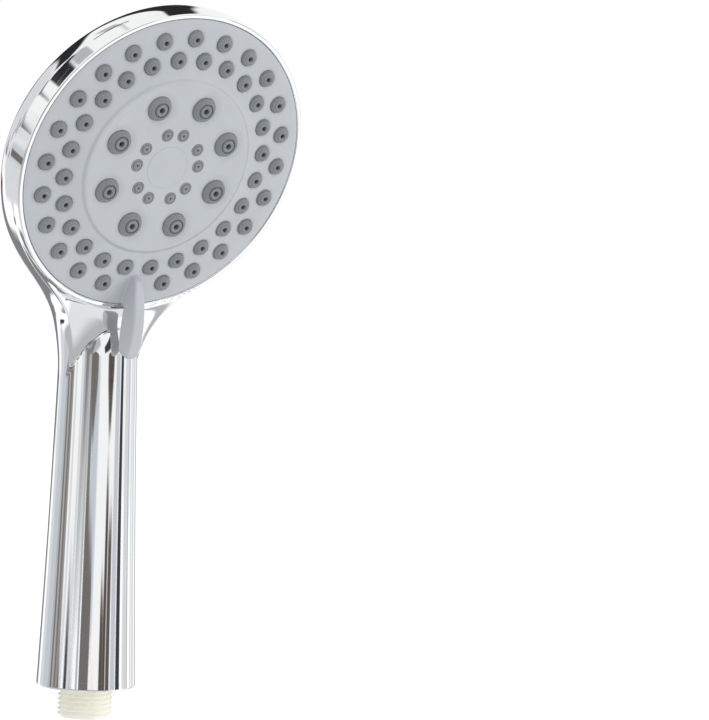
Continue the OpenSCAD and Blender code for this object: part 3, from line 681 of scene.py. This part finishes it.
# Underside: it lies in the plate, then runs upward beyond the plate's edge
UNDER_H = -0.9
UNDER_V = -59
UNDER_LEAN = 0.23
PLATE_END_V = -58.2
PLATE_END_DROP = 5

# Half width at the top, its slimming near the start, and the slope of the sides
LEVER_HALF = 2.5
START_SLIM = 1.1
FLARE_LEAST = 0.015
FLARE_GROWTH = 0.075
FLARE_FROM = -52
TIP_R = 3.2
TIP_SOFT = 2.4
START_LEAN = 0.35
LEVER_SOFT = 1.0
LEVER_BLEND = 0.6

# Grid that the lever is made on
LEVER_LOW = (-8, -77.5, -6)
LEVER_HIGH = (8, -38, 11)
LEVER_CELL = 0.4


def lever_field(q):
    """Distance to the lever's form, the same on both sides of its middle."""
    x, v, n = np.abs(q[..., 0]), q[..., 1], q[..., 2]
    rise = np.maximum(v - LEVER_CREST_V, 0) / 10
    fall = np.maximum(LEVER_CREST_V - v, 0) / 10
    top_at = LEVER_TOP - TOP_RISE * rise ** TOP_BEND - TOP_FALL * fall ** 2
    lean = RISE_LEAN * rise ** (TOP_BEND - 1) + FALL_LEAN * fall
    top = (n - top_at) / np.sqrt(1 + lean ** 2)
    under_at = UNDER_H + UNDER_LEAN * np.maximum(UNDER_V - v, 0)
    under_at = under_at - PLATE_END_DROP * smooth_step((v - PLATE_END_V) / 1.6)
    under = (under_at - n) / math.hypot(1, UNDER_LEAN)
    flare = FLARE_LEAST + FLARE_GROWTH * smooth_step((FLARE_FROM - v) / 12)
    slim = START_SLIM * np.exp(np.minimum(v - LEVER_START, 0) / 5)
    half = LEVER_HALF - slim + flare * np.maximum(top_at - n, 0)
    side = (x - half) / np.hypot(1, flare)
    tip = np.hypot(x * 0.5, np.minimum(v - LEVER_TIP - TIP_R, 0)) - TIP_R
    start = (v - LEVER_START + START_LEAN * n) / math.hypot(1, START_LEAN)
    body = smooth_max(smooth_max(top, side, LEVER_SOFT), under, LEVER_SOFT)
    return smooth_max(smooth_max(body, tip, TIP_SOFT), start, 1)


def plate_field(q):
    """Distance above the plate's front, or beyond its edge."""
    x, v, n = q[..., 0], q[..., 1], q[..., 2]
    return np.maximum(n - field_height(x, v), np.hypot(x, v) - EDGE_R - 0.9)


def lever_and_plate(q):
    return smooth_min(lever_field(q), plate_field(q), LEVER_BLEND)


# Only the lever and the fillet at its foot are kept, because the plate has a finer front of its own
points, faces = surface_net(lever_and_plate, LEVER_LOW, LEVER_HIGH, LEVER_CELL)
points = settle(lever_and_plate, points)
middle = points[faces].mean(1)
touched = lever_field(middle) - plate_field(middle) < LEVER_BLEND * 0.97
touched &= (middle[:, 2] > LEVER_LOW[2] + 0.8) & (middle[:, 1] < LEVER_HIGH[1] - 0.5)
points, faces = compact(points, faces, touched)

plate = Part()
plate.add(*plate_front())
for cx, cv, hole in HOLES:
    plate.add(*hole_wall(cx, cv, hole))
edge_h = float(plate_height(np.array([EDGE_R]), np.array([0.0]))[0])
plate.add(*revolve([(PLATE_R - 2, SKIRT_BACK), (PLATE_R, SKIRT_BACK, 0.2), (PLATE_R, edge_h - 0.35, 0.2),
                    (EDGE_R, edge_h)], FINE_SIDES))
plate.add(points, faces, field_normals(lever_and_plate, points))
plate.build("spray_plate", "selector", face_grey, ("face_plate",))

cap = Part()
cap.add(*revolve([(CAP_R, -2.5), (CAP_R, -0.1), (CAP_R + 0.16, 0, 0.05), (0, 0)], 96))
cap.build("centre_cap_disc", "selector", face_grey, ("centre_cap",))

# ---- Nozzles ----

# Half profiles, each with radius, height over the plate and rounding, from the foot to the bore
RAIN_PROFILE = [(5.1, -2.35), (3.22, -2.3, 0.3), (3.22, -0.05, 0.1), (2.85, 0.95, 0.35), (2.3, 1.1, 0.2),
                (1.9, 1.55, 0.25), (1.3, 1.7, 0.15), (1.05, 1.55, 0.12), (0.85, 1.35, 0.1), (0.76, -1.5)]
POWER_PROFILE = [(6.2, -2.4), (4.8, -2.35, 0.3), (4.8, -0.05, 0.1), (4.5, 0.6, 0.25), (4.15, 0.7, 0.15),
                 (3.85, 1.15, 0.2), (3.5, 1.2, 0.15), (3.25, 1.5, 0.15), (3.0, 1.5, 0.1), (2.85, 0.8, 0.15),
                 (2.6, 0.8, 0.12), (2.3, 1.6, 0.2), (1.95, 1.85, 0.2), (1.25, 1.8, 0.12), (1.05, 1.5, 0.1),
                 (0.95, -1)]
MIST_PROFILE = [(MIST_HOLE - 0.05, -3), (MIST_HOLE - 0.05, 0.05, 0.2), (2.05, 0.1, 0.1), (1.85, -0.15, 0.1),
                (1.65, -0.1, 0.1), (1.45, 0.45, 0.2), (0.75, 0.6, 0.1), (0.5, 0.3, 0.08), (0.35, 0.25, 0.05),
                (0.3, -1)]

rain = Part()
rain_shape = revolve(RAIN_PROFILE, 40, 3)
for angles, radius in ((OUTER_ANGLES, OUTER_R), (MIDDLE_ANGLES, MIDDLE_R)):
    level = float(np.interp(radius, FIELD_R, FIELD_H))
    rain.copies(rain_shape, around(angles, radius, level))
rain.build("rain_nozzles", "selector", silicone, ("rain_nozzle_mat",))

power = Part()
power.copies(revolve(POWER_PROFILE, 48, 3), around(POWER_ANGLES, POWER_R, 0))
power.build("power_nozzles", "selector", silicone, ("power_nozzle_mat",))

mist = Part()
mist.copies(revolve(MIST_PROFILE, 36, 3), around(MIST_ANGLES, MIST_R, 0))
mist.build("mist_inserts", "selector", mist_grey, ("mist_nozzles",))

# Painted shade: a near-black disc deep in each outlet stands in for the shade inside the bore. For each ring:
# angles, radius of the ring, radius of the bore and height of its bottom
PAINTED_SHADE_OUTLETS = ((OUTER_ANGLES, OUTER_R, 0.82, -3.1), (MIDDLE_ANGLES, MIDDLE_R, 0.82, -2.4),
          (POWER_ANGLES, POWER_R, 0.95, -0.5), (MIST_ANGLES, MIST_R, 0.4, -0.8))

painted_shade_discs = Part()
for angles, radius, bore, bottom in PAINTED_SHADE_OUTLETS:
    painted_shade_discs.copies(revolve([(bore, bottom), (0, bottom)], 16), around(angles, radius, 0))
painted_shade_discs.build("outlet_painted_shade", "selector", painted_shade_bore)

# ---- Threaded inlet ----

THREAD_R = 10.4775
THREAD_PITCH = 1.814
THREAD_DEPTH = 1.162
THREAD_LOW = 0.3
THREAD_TURNS = 5.45
THREAD_FADE = 0.9
CHAMFER = 0.35
INLET_SIDES = 96
THREAD_ROWS = 200

# Tube inside the handle: collar that closes it, wall, spigot at the top, and the seat of the hose's washer
COLLAR_LOW = HANDLE_Z + 0.6
COLLAR_HIGH = COLLAR_LOW + 3.2
COLLAR_R = END_IN - 0.12
ROOT_R = THREAD_R - THREAD_DEPTH - CHAMFER
MOUTH_R = 6.5
SEAT_R = 5.4
SEAT_Z = 8.8
TUBE_R = 8.5
TUBE_HIGH = 154
TUBE_BORE = 6
BORE_HIGH = 151
SPIGOT_R = 6.2
SPIGOT_BORE = 4.5
SPIGOT_HIGH = 168


def thread_depth_at(phase):
    """Depth below the crest over one pitch: rounded crest and root with 55 degree flanks between them."""
    return THREAD_DEPTH * (0.5 - 0.5 * np.cos(TAU * phase) * (1.18 - 0.18 * np.cos(TAU * phase) ** 2))


def thread_surface():
    """Outside of the inlet: helical thread that fades out in the relief below the collar."""
    sides = INLET_SIDES
    z = np.linspace(0.0, HANDLE_Z + 1.0, THREAD_ROWS)[:, None]
    angle = (np.arange(sides) * TAU / sides)[None, :]
    phase = (z - THREAD_LOW) / THREAD_PITCH - angle / TAU
    start = smooth_step((z - 0.2) / THREAD_FADE)
    runout = smooth_step((THREAD_LOW + THREAD_TURNS * THREAD_PITCH - z) / THREAD_FADE)
    deep = THREAD_DEPTH * 0.98
    depth = deep + (thread_depth_at(phase) - deep) * runout * start
    r = THREAD_R - (depth + CHAMFER * (1 - smooth_step(z / 0.5)))
    points = np.stack([r * np.cos(angle), r * np.sin(angle), np.broadcast_to(z, r.shape)], -1)
    dz = np.gradient(r, z[:, 0], axis=0)
    da = (np.roll(r, -1, 1) - np.roll(r, 1, 1)) / (2 * TAU / sides)
    out = np.stack([np.cos(angle) + 0 * r, np.sin(angle) + 0 * r, 0 * r], -1)
    along = np.stack([-np.sin(angle) + 0 * r, np.cos(angle) + 0 * r, 0 * r], -1)
    normals = out - along * (da / r)[..., None] - dz[..., None] * np.array([0, 0, 1.0])
    return points.reshape(-1, 3), tube_faces(THREAD_ROWS, sides), unit(normals).reshape(-1, 3)


inlet = Part()
inlet.add(*upright(thread_surface()))
inlet.add(*upright(revolve([(SEAT_R, SEAT_Z), (MOUTH_R, SEAT_Z), (MOUTH_R, 0, CHAMFER), (ROOT_R + 0.05, 0)],
                           INLET_SIDES)))
inlet.add(*upright(revolve([(ROOT_R - 1, COLLAR_LOW), (COLLAR_R, COLLAR_LOW, 0.3), (COLLAR_R, COLLAR_HIGH),
                            (TUBE_R, COLLAR_HIGH), (TUBE_R, TUBE_HIGH), (SPIGOT_R, TUBE_HIGH),
                            (SPIGOT_R, SPIGOT_HIGH, 0.4), (SPIGOT_BORE, SPIGOT_HIGH),
                            (SPIGOT_BORE, BORE_HIGH), (TUBE_BORE, BORE_HIGH), (TUBE_BORE, SEAT_Z),
                            (SEAT_R, SEAT_Z)], INLET_SIDES)))
inlet.build("inlet_and_tube", "body", cream, ("water_tube",))

# ---- Stage, light and camera ----

CAMERA_PLACE = Vector((-0.84521, -1.35126, 0.26722))
CAMERA_LOOK = Vector((0.57930, 0.81126, -0.07912))
CAMERA_UP = Vector((0.01093, 0.08933, 0.99594))
CAMERA_LENS = 210
CAMERA_SENSOR = 36

ROOM_TONE = (0.97, 0.985, 1)
ROOM_LIGHT = 0.9
WHITE = (1, 1, 1)
FLOOR_TONE = (0.9, 0.9, 0.9)
FLOOR_GLOW = 0.35
FLOOR_Z = -2.5
FLOOR_HALF = 30
LAMP_AIM = Vector((0, -0.02, 0.16))

scene = bpy.context.scene
scene.view_settings.view_transform = "Standard"


def link(obj):
    scene.collection.objects.link(obj)
    return obj


def seen_directly(nodes, links):
    """1 for rays from the camera, mirrors and glass."""
    path = nodes.new("ShaderNodeLightPath")
    value = path.outputs["Is Camera Ray"]
    for name in ("Is Glossy Ray", "Is Transmission Ray"):
        largest = nodes.new("ShaderNodeMath")
        largest.operation = "MAXIMUM"
        links.new(value, largest.inputs[0])
        links.new(path.outputs[name], largest.inputs[1])
        value = largest.outputs[0]
    return value


def glow(nodes, kind, tone, strength):
    """A node that gives off light: a world background or an emission."""
    node = nodes.new(kind)
    node.inputs["Color"].default_value = (*tone, 1)
    node.inputs["Strength"].default_value = strength
    return node.outputs[0]


def mixed(nodes, links, share, first, second):
    """The second shader in place of the first, by the share given."""
    node = nodes.new("ShaderNodeMixShader")
    links.new(share, node.inputs["Fac"])
    links.new(first, node.inputs[1])
    links.new(second, node.inputs[2])
    return node.outputs[0]


def add_camera():
    data = bpy.data.cameras.new("camera")
    data.lens = CAMERA_LENS
    data.sensor_width = CAMERA_SENSOR
    data.clip_end = 50
    camera = link(bpy.data.objects.new("camera", data))
    look = CAMERA_LOOK.normalized()
    right = look.cross(CAMERA_UP.normalized()).normalized()
    up = right.cross(look)
    camera.matrix_world = Matrix.Translation(CAMERA_PLACE) @ Matrix((right, up, -look)).transposed().to_4x4()
    scene.camera = camera


def add_world():
    """A room that lights softly, and looks white to the camera and in mirrors."""
    world = bpy.data.worlds.new("world")
    scene.world = world
    world.use_nodes = True
    nodes, links = world.node_tree.nodes, world.node_tree.links
    nodes.remove(nodes["Background"])
    room = glow(nodes, "ShaderNodeBackground", ROOM_TONE, ROOM_LIGHT)
    shown = glow(nodes, "ShaderNodeBackground", WHITE, 1)
    both = mixed(nodes, links, seen_directly(nodes, links), room, shown)
    links.new(both, nodes["World Output"].inputs["Surface"])


def add_floor():
    """A pale floor far below, with a faint glow that keeps it white where it is seen."""
    mesh = bpy.data.meshes.new("floor")
    corners = [(x * FLOOR_HALF, y * FLOOR_HALF, FLOOR_Z) for x, y in ((-1, -1), (1, -1), (1, 1), (-1, 1))]
    mesh.from_pydata(corners, [], [(0, 1, 2, 3)])
    material, nodes, links, shader = new_material("floor")
    shader.inputs["Base Color"].default_value = (*FLOOR_TONE, 1)
    shader.inputs["Roughness"].default_value = 0.9
    shader.inputs["Specular IOR Level"].default_value = 0
    faint = glow(nodes, "ShaderNodeEmission", WHITE, FLOOR_GLOW)
    none = glow(nodes, "ShaderNodeEmission", WHITE, 0)
    add = nodes.new("ShaderNodeAddShader")
    links.new(shader.outputs[0], add.inputs[0])
    links.new(mixed(nodes, links, seen_directly(nodes, links), none, faint), add.inputs[1])
    links.new(add.outputs[0], nodes["Material Output"].inputs["Surface"])
    mesh.materials.append(material)
    link(bpy.data.objects.new("floor", mesh))


def add_lamp(name, place, size, power):
    """Soft lamp that points at the middle of the handset and isn't seen in mirrors."""
    data = bpy.data.lights.new(name, "AREA")
    data.size = size
    data.energy = power
    lamp = link(bpy.data.objects.new(name, data))
    lamp.location = place
    lamp.rotation_euler = (LAMP_AIM - Vector(place)).to_track_quat("-Z", "Y").to_euler()
    lamp.visible_glossy = False


add_camera()
add_world()
add_floor()
add_lamp("key", (1.5, -1.5, 0.1), 1.0, 9.5)

# ---- Studio cards that only mirrors see: dark and grey shapes round the white room ----

CARD_MIDDLE = np.array([0, 0, 0.1])
CARD_R = 2.2
CARD_GAP = 0.004
CARD_ROWS = 60
CARD_BANDS = 12
CARD_ROUNDS = 14
END_TAPER = 0.85

# The cards made so far. Each is a gap farther out than the one before, so it lies behind it.
cards = []


def toward(azimuth, elevation):
    """Direction in the model's frame: azimuth from the front toward +X, elevation above the floor."""
    a, e = np.radians(azimuth), np.radians(elevation)
    return np.stack([np.cos(e) * np.sin(a), -np.cos(e) * np.cos(a), np.sin(e)], -1)


def ribbon(path, soft, soft_end):
    """Azimuth and elevation of a ribbon's points, in rows across its path, and how much each one covers."""
    path = np.array(path, float)
    along = np.concatenate([[0], np.cumsum(np.hypot(*np.diff(path[:, :2], axis=0).T))])
    at = np.linspace(-soft_end, along[-1] + soft_end, CARD_ROWS)
    heading = np.stack([np.interp(at, along, path[:, k]) for k in range(3)], -1)

    # Beyond its path the ribbon goes straight on and fades, and bends in the path are rounded
    before, after = np.maximum(-at, 0), np.maximum(at - along[-1], 0)
    first = unit(path[1, :2] - path[0, :2])
    last = unit(path[-1, :2] - path[-2, :2])
    heading[:, :2] += after[:, None] * last - before[:, None] * first
    for _ in range(CARD_ROUNDS):
        heading[1:-1] = (heading[:-2] + 2 * heading[1:-1] + heading[2:]) / 4

    end = (before + after) / soft_end
    half = heading[:, 2] * np.sqrt(1 - END_TAPER * end ** 2)
    reach = half + soft
    way = unit(np.gradient(heading[:, :2], axis=0))
    side = np.stack([-way[:, 1], way[:, 0]], -1)
    across = np.linspace(-1, 1, 2 * CARD_BANDS + 1)
    spot = heading[:, None, :2] + across[None, :, None] * reach[:, None, None] * side[:, None, :]
    edge = (np.abs(across)[None, :] * reach[:, None] - half[:, None]) / soft
    return spot, (1 - smooth_step(edge)) * (1 - smooth_step(end))[:, None]


def card(name, path, tone, soft=4.0, soft_end=4.0):
    """A ribbon on a large ball round the handset, with soft edges and ends.
    The path lists azimuth, elevation and half width, all in degrees."""
    spot, cover = ribbon(path, soft, soft_end)
    radius = CARD_R + CARD_GAP * (len(cards) + 1)
    points = CARD_MIDDLE + radius * toward(spot[..., 0], spot[..., 1])
    rows, columns = cover.shape
    faces = [(i * columns + j, i * columns + j + 1, (i + 1) * columns + j + 1, (i + 1) * columns + j)
             for i in range(rows - 1) for j in range(columns - 1)]
    mesh = bpy.data.meshes.new(name)
    mesh.from_pydata(points.reshape(-1, 3).tolist(), [], faces)
    mesh.attributes.new("cover", "FLOAT", "POINT").data.foreach_set("value", cover.ravel().tolist())

    material, nodes, links, shader = new_material(name)
    nodes.remove(shader)
    attribute = nodes.new("ShaderNodeAttribute")
    attribute.attribute_name = "cover"
    clear = nodes.new("ShaderNodeBsdfTransparent").outputs[0]
    paint = glow(nodes, "ShaderNodeEmission", tone, 1)
    both = mixed(nodes, links, attribute.outputs["Fac"], clear, paint)
    links.new(both, nodes["Material Output"].inputs["Surface"])
    mesh.materials.append(material)

    obj = link(bpy.data.objects.new(name, mesh))
    obj.visible_camera = obj.visible_diffuse = obj.visible_shadow = obj.visible_transmission = False
    cards.append(obj)


BLACK = (0.025, 0.025, 0.028)
COOL_DARK = (0.05, 0.056, 0.064)
BROWN_BLACK = (0.1, 0.085, 0.08)
DEEP_BROWN = (0.12, 0.105, 0.095)
WARM_DARK = (0.18, 0.168, 0.16)
MID_GREY = (0.235, 0.235, 0.24)
WARM_GREY = (0.32, 0.305, 0.295)
SOFT_GREY = (0.5, 0.51, 0.52)
COOL_LIGHT = (0.60, 0.64, 0.68)
PALE = (0.74, 0.75, 0.77)
FAINT = (0.83, 0.85, 0.87)

# Small marks behind on the left, seen low in the side of the head. They are the nearest cards.
card("mottle_blob", [(213, 1.6, 0.7), (211, -0.1, 0.9)], WARM_DARK, 1, 0.8)
card("mottle_speck", [(205, 1.6, 0.7), (203, 0.2, 0.6)], MID_GREY, 1, 0.8)

# Behind the handset, seen along the outline of the handle
card("outline_grey", [(169, -16, 8), (169, -4.5, 8)], MID_GREY, 5, 3)
card("outline_top", [(158, -4, 0.7), (180, -3.5, 0.7)], COOL_DARK, 1, 3)
card("outline_behind", [(157, -5, 8), (157, 20, 8)], BLACK, 3, 3)

# Upright stripes round the sides and the front, seen along the handle
card("cool_light", [(-158, -18, 6), (-158, 3, 6)], PALE, 4, 4)
card("cool_stripe", [(-142, -18, 9), (-142, 3, 9)], COOL_LIGHT, 4, 4)
card("warm_edge", [(-130, -18, 4), (-130, -1, 4)], SOFT_GREY, 3, 2)
card("warm_line_left", [(-122, -18, 0.8), (-121, -1, 0.8)], WARM_DARK, 1.5, 2)
card("warm_line", [(-117, -18, 0.5), (-116, -1, 0.5)], SOFT_GREY, 1.5, 2)
card("warm_line_right", [(-111, -18, 0.8), (-110, -1, 0.8)], WARM_DARK, 1.5, 2)
card("warm_stripe", [(-114, -18, 11), (-114, -1, 11)], WARM_GREY, 1.5, 1.5)
card("pale_line_left", [(-95, -18, 1), (-94, -2, 1)], PALE, 3, 3)
card("pale_line", [(-77, -18, 1.5), (-75, -2, 1.5)], PALE, 3, 3)
card("thin_stripe", [(-56, -18, 1.2), (-54, -2, 1.2)], SOFT_GREY, 2.5, 3)

# Tops of the stripes, which end them below the neck
card("warm_top", [(-118, -1.6, 1), (-118, -0.8, 7), (-118, 0.4, 2)], MID_GREY, 3, 0.4)
card("middle_top", [(-39, -2.3, 1), (-39, -1.5, 9), (-39, -0.4, 8), (-39, 1.2, 1)], WARM_DARK, 3, 0.4)
card("dark_top", [(9, -2.4, 1), (9, -1.5, 8), (9, -0.3, 7), (9, 1.5, 1)], BROWN_BLACK, 4, 0.4)

# More upright stripes, behind those tops
card("middle_stripe", [(-39, -18, 10), (-38, -4.4, 9.5)], WARM_DARK, 2.5, 1.2)
card("middle_edge", [(-45, -5, 2.5), (-46, -1.4, 2.5)], MID_GREY, 3, 2)
card("middle_haze", [(-32, -5.5, 6), (-32, -1.6, 6)], COOL_LIGHT, 6, 1)
card("dark_left", [(0, -18, 3.5), (1, -5.6, 2.5)], BROWN_BLACK, 3, 1)
card("dark_middle", [(7.5, -18, 4), (8.5, -3.8, 2)], BROWN_BLACK, 3, 1)
card("dark_right", [(18, -18, 5), (18, -4.6, 3)], DEEP_BROWN, 3, 1)
card("light_stripe", [(31, -18, 5), (32, -2, 5)], COOL_LIGHT, 3, 3)
card("blue_stripe", [(46, -18, 5.4), (46, -6, 4.8), (45.5, 1, 2.6)], COOL_DARK, 2, 3)
card("right_haze", [(67, -18, 5), (67, 0, 5)], PALE, 4, 3)
card("right_stripe", [(77, -18, 1.6), (77, 0, 1.6)], SOFT_GREY, 2, 3)
card("far_right_line", [(93, -18, 1.5), (93, 0, 1.5)], PALE, 3, 3)
card("far_right_stripe", [(106, -18, 4), (106, 0, 4)], PALE, 4, 3)
card("right_outline", [(134, -18, 8), (134, -1, 8)], SOFT_GREY, 8, 3)

# Slanted patches and waves, seen in the neck
card("neck_blob", [(-12, 3, 2), (-1, 7, 4), (6, 11, 5), (13, 17, 4)], COOL_DARK, 2, 2)
card("neck_streak", [(-64, 0, 1.5), (-50, 2.5, 2), (-42, 12, 2.5)], MID_GREY, 2.5, 3)
card("neck_fill", [(-70, 0.5, 4), (-48, 6, 6), (-30, 14, 6)], SOFT_GREY, 5, 4)
card("neck_wave_left", [(-135, -13, 3), (-112, -9, 4), (-90, -14, 3)], COOL_DARK, 3, 5)
card("neck_wave", [(-84, -8, 1.5), (-50, -13, 2.5), (-20, -10, 2), (0, -15, 4), (25, -17, 5)],
     COOL_DARK, 2.5, 5)

# Dark edge behind, seen as the dark outline of the head, and broken strokes in the side below it
card("head_edge", [(126, 54, 4), (136, 54, 5), (142, 48, 6), (149, 36, 9), (154, 26, 10), (158, 15, 9),
                   (156, 3, 7)], BLACK, 2.5, 4)
card("mottle_high", [(220, 34, 0.8), (222, 28, 1.2)], MID_GREY, 1, 1.5)
STROKES = [(222, 17, 5), (218.5, 14, 4), (215, 15, 6), (211, 11, 4), (206, 12, 5), (200, 8, 4)]
for place, (azimuth, elevation, length) in enumerate(STROKES):
    stroke = [(azimuth + 1, elevation + length / 2, 0.3), (azimuth, elevation - length / 2, 0.5)]
    card("mottle_stroke_%d" % place, stroke, WARM_DARK, 0.8, 1)

# Arc and crescent, seen as the black patch at the head's upper left, with lines and soft clouds round them
card("head_arc", [(157, 14, 3), (168, 24.5, 3.6), (180, 34.5, 4), (193, 41, 4.4), (203, 43, 4), (211, 42, 3)],
     BLACK, 2.5, 3)
card("head_crescent", [(222.5, 36, 0.8), (220.5, 43, 2), (215, 48.5, 1)], BLACK, 1, 1.5)
card("head_inside", [(219, 49, 2), (212, 54, 2)], SOFT_GREY, 1.5, 2)
card("head_line", [(202, 57, 0.5), (188, 60, 0.8), (172, 60.5, 0.5)], COOL_DARK, 0.8, 2)
card("head_cloud", [(180, 51, 4), (184, 60, 5)], SOFT_GREY, 3, 3)
card("head_haze", [(176, 18, 9), (216, 22, 12)], PALE, 8, 6)
card("head_smudge", [(164, 13, 2.5), (178, 12, 2)], SOFT_GREY, 2, 3)
card("head_spot", [(179, 6.5, 2.2), (192, 4.5, 2.2)], MID_GREY, 1.5, 3)

# Low behind, seen where the side of the head meets the neck
card("low_line", [(163, -1.5, 0.8), (172, -1.8, 0.8)], BLACK, 1, 2)
card("low_dark", [(167, -8, 3.5), (175, -14, 4)], COOL_DARK, 2, 3)
card("low_grey", [(160, -9, 3), (164, -18, 3)], MID_GREY, 3, 3)
card("low_right", [(193, -20, 1.2), (199, -26, 1.2)], COOL_DARK, 1.5, 2)

# Below the handset, seen under the head
card("under_back", [(176, -30, 8), (178, -60, 9)], MID_GREY, 4, 5)
card("under_side", [(60, -84, 3), (110, -80, 4), (150, -77, 5), (170, -70, 6)], MID_GREY, 3, 5)
card("under_streak", [(180, -44, 1.5), (182, -56, 2.5), (168, -71, 3), (130, -79, 2)], COOL_DARK, 2, 3)
card("right_wedge", [(96, -44, 3), (100, -31, 6), (117, -18, 4)], SOFT_GREY, 6, 4)

# Broad faint shades near the floor, behind all other cards
card("neck_shade", [(-150, -32, 9), (-60, -30, 10), (25, -34, 10)], SOFT_GREY, 16, 6)
card("floor_shade", [(-175, -64, 14), (0, -64, 14), (175, -64, 14)], FAINT, 8, 4)
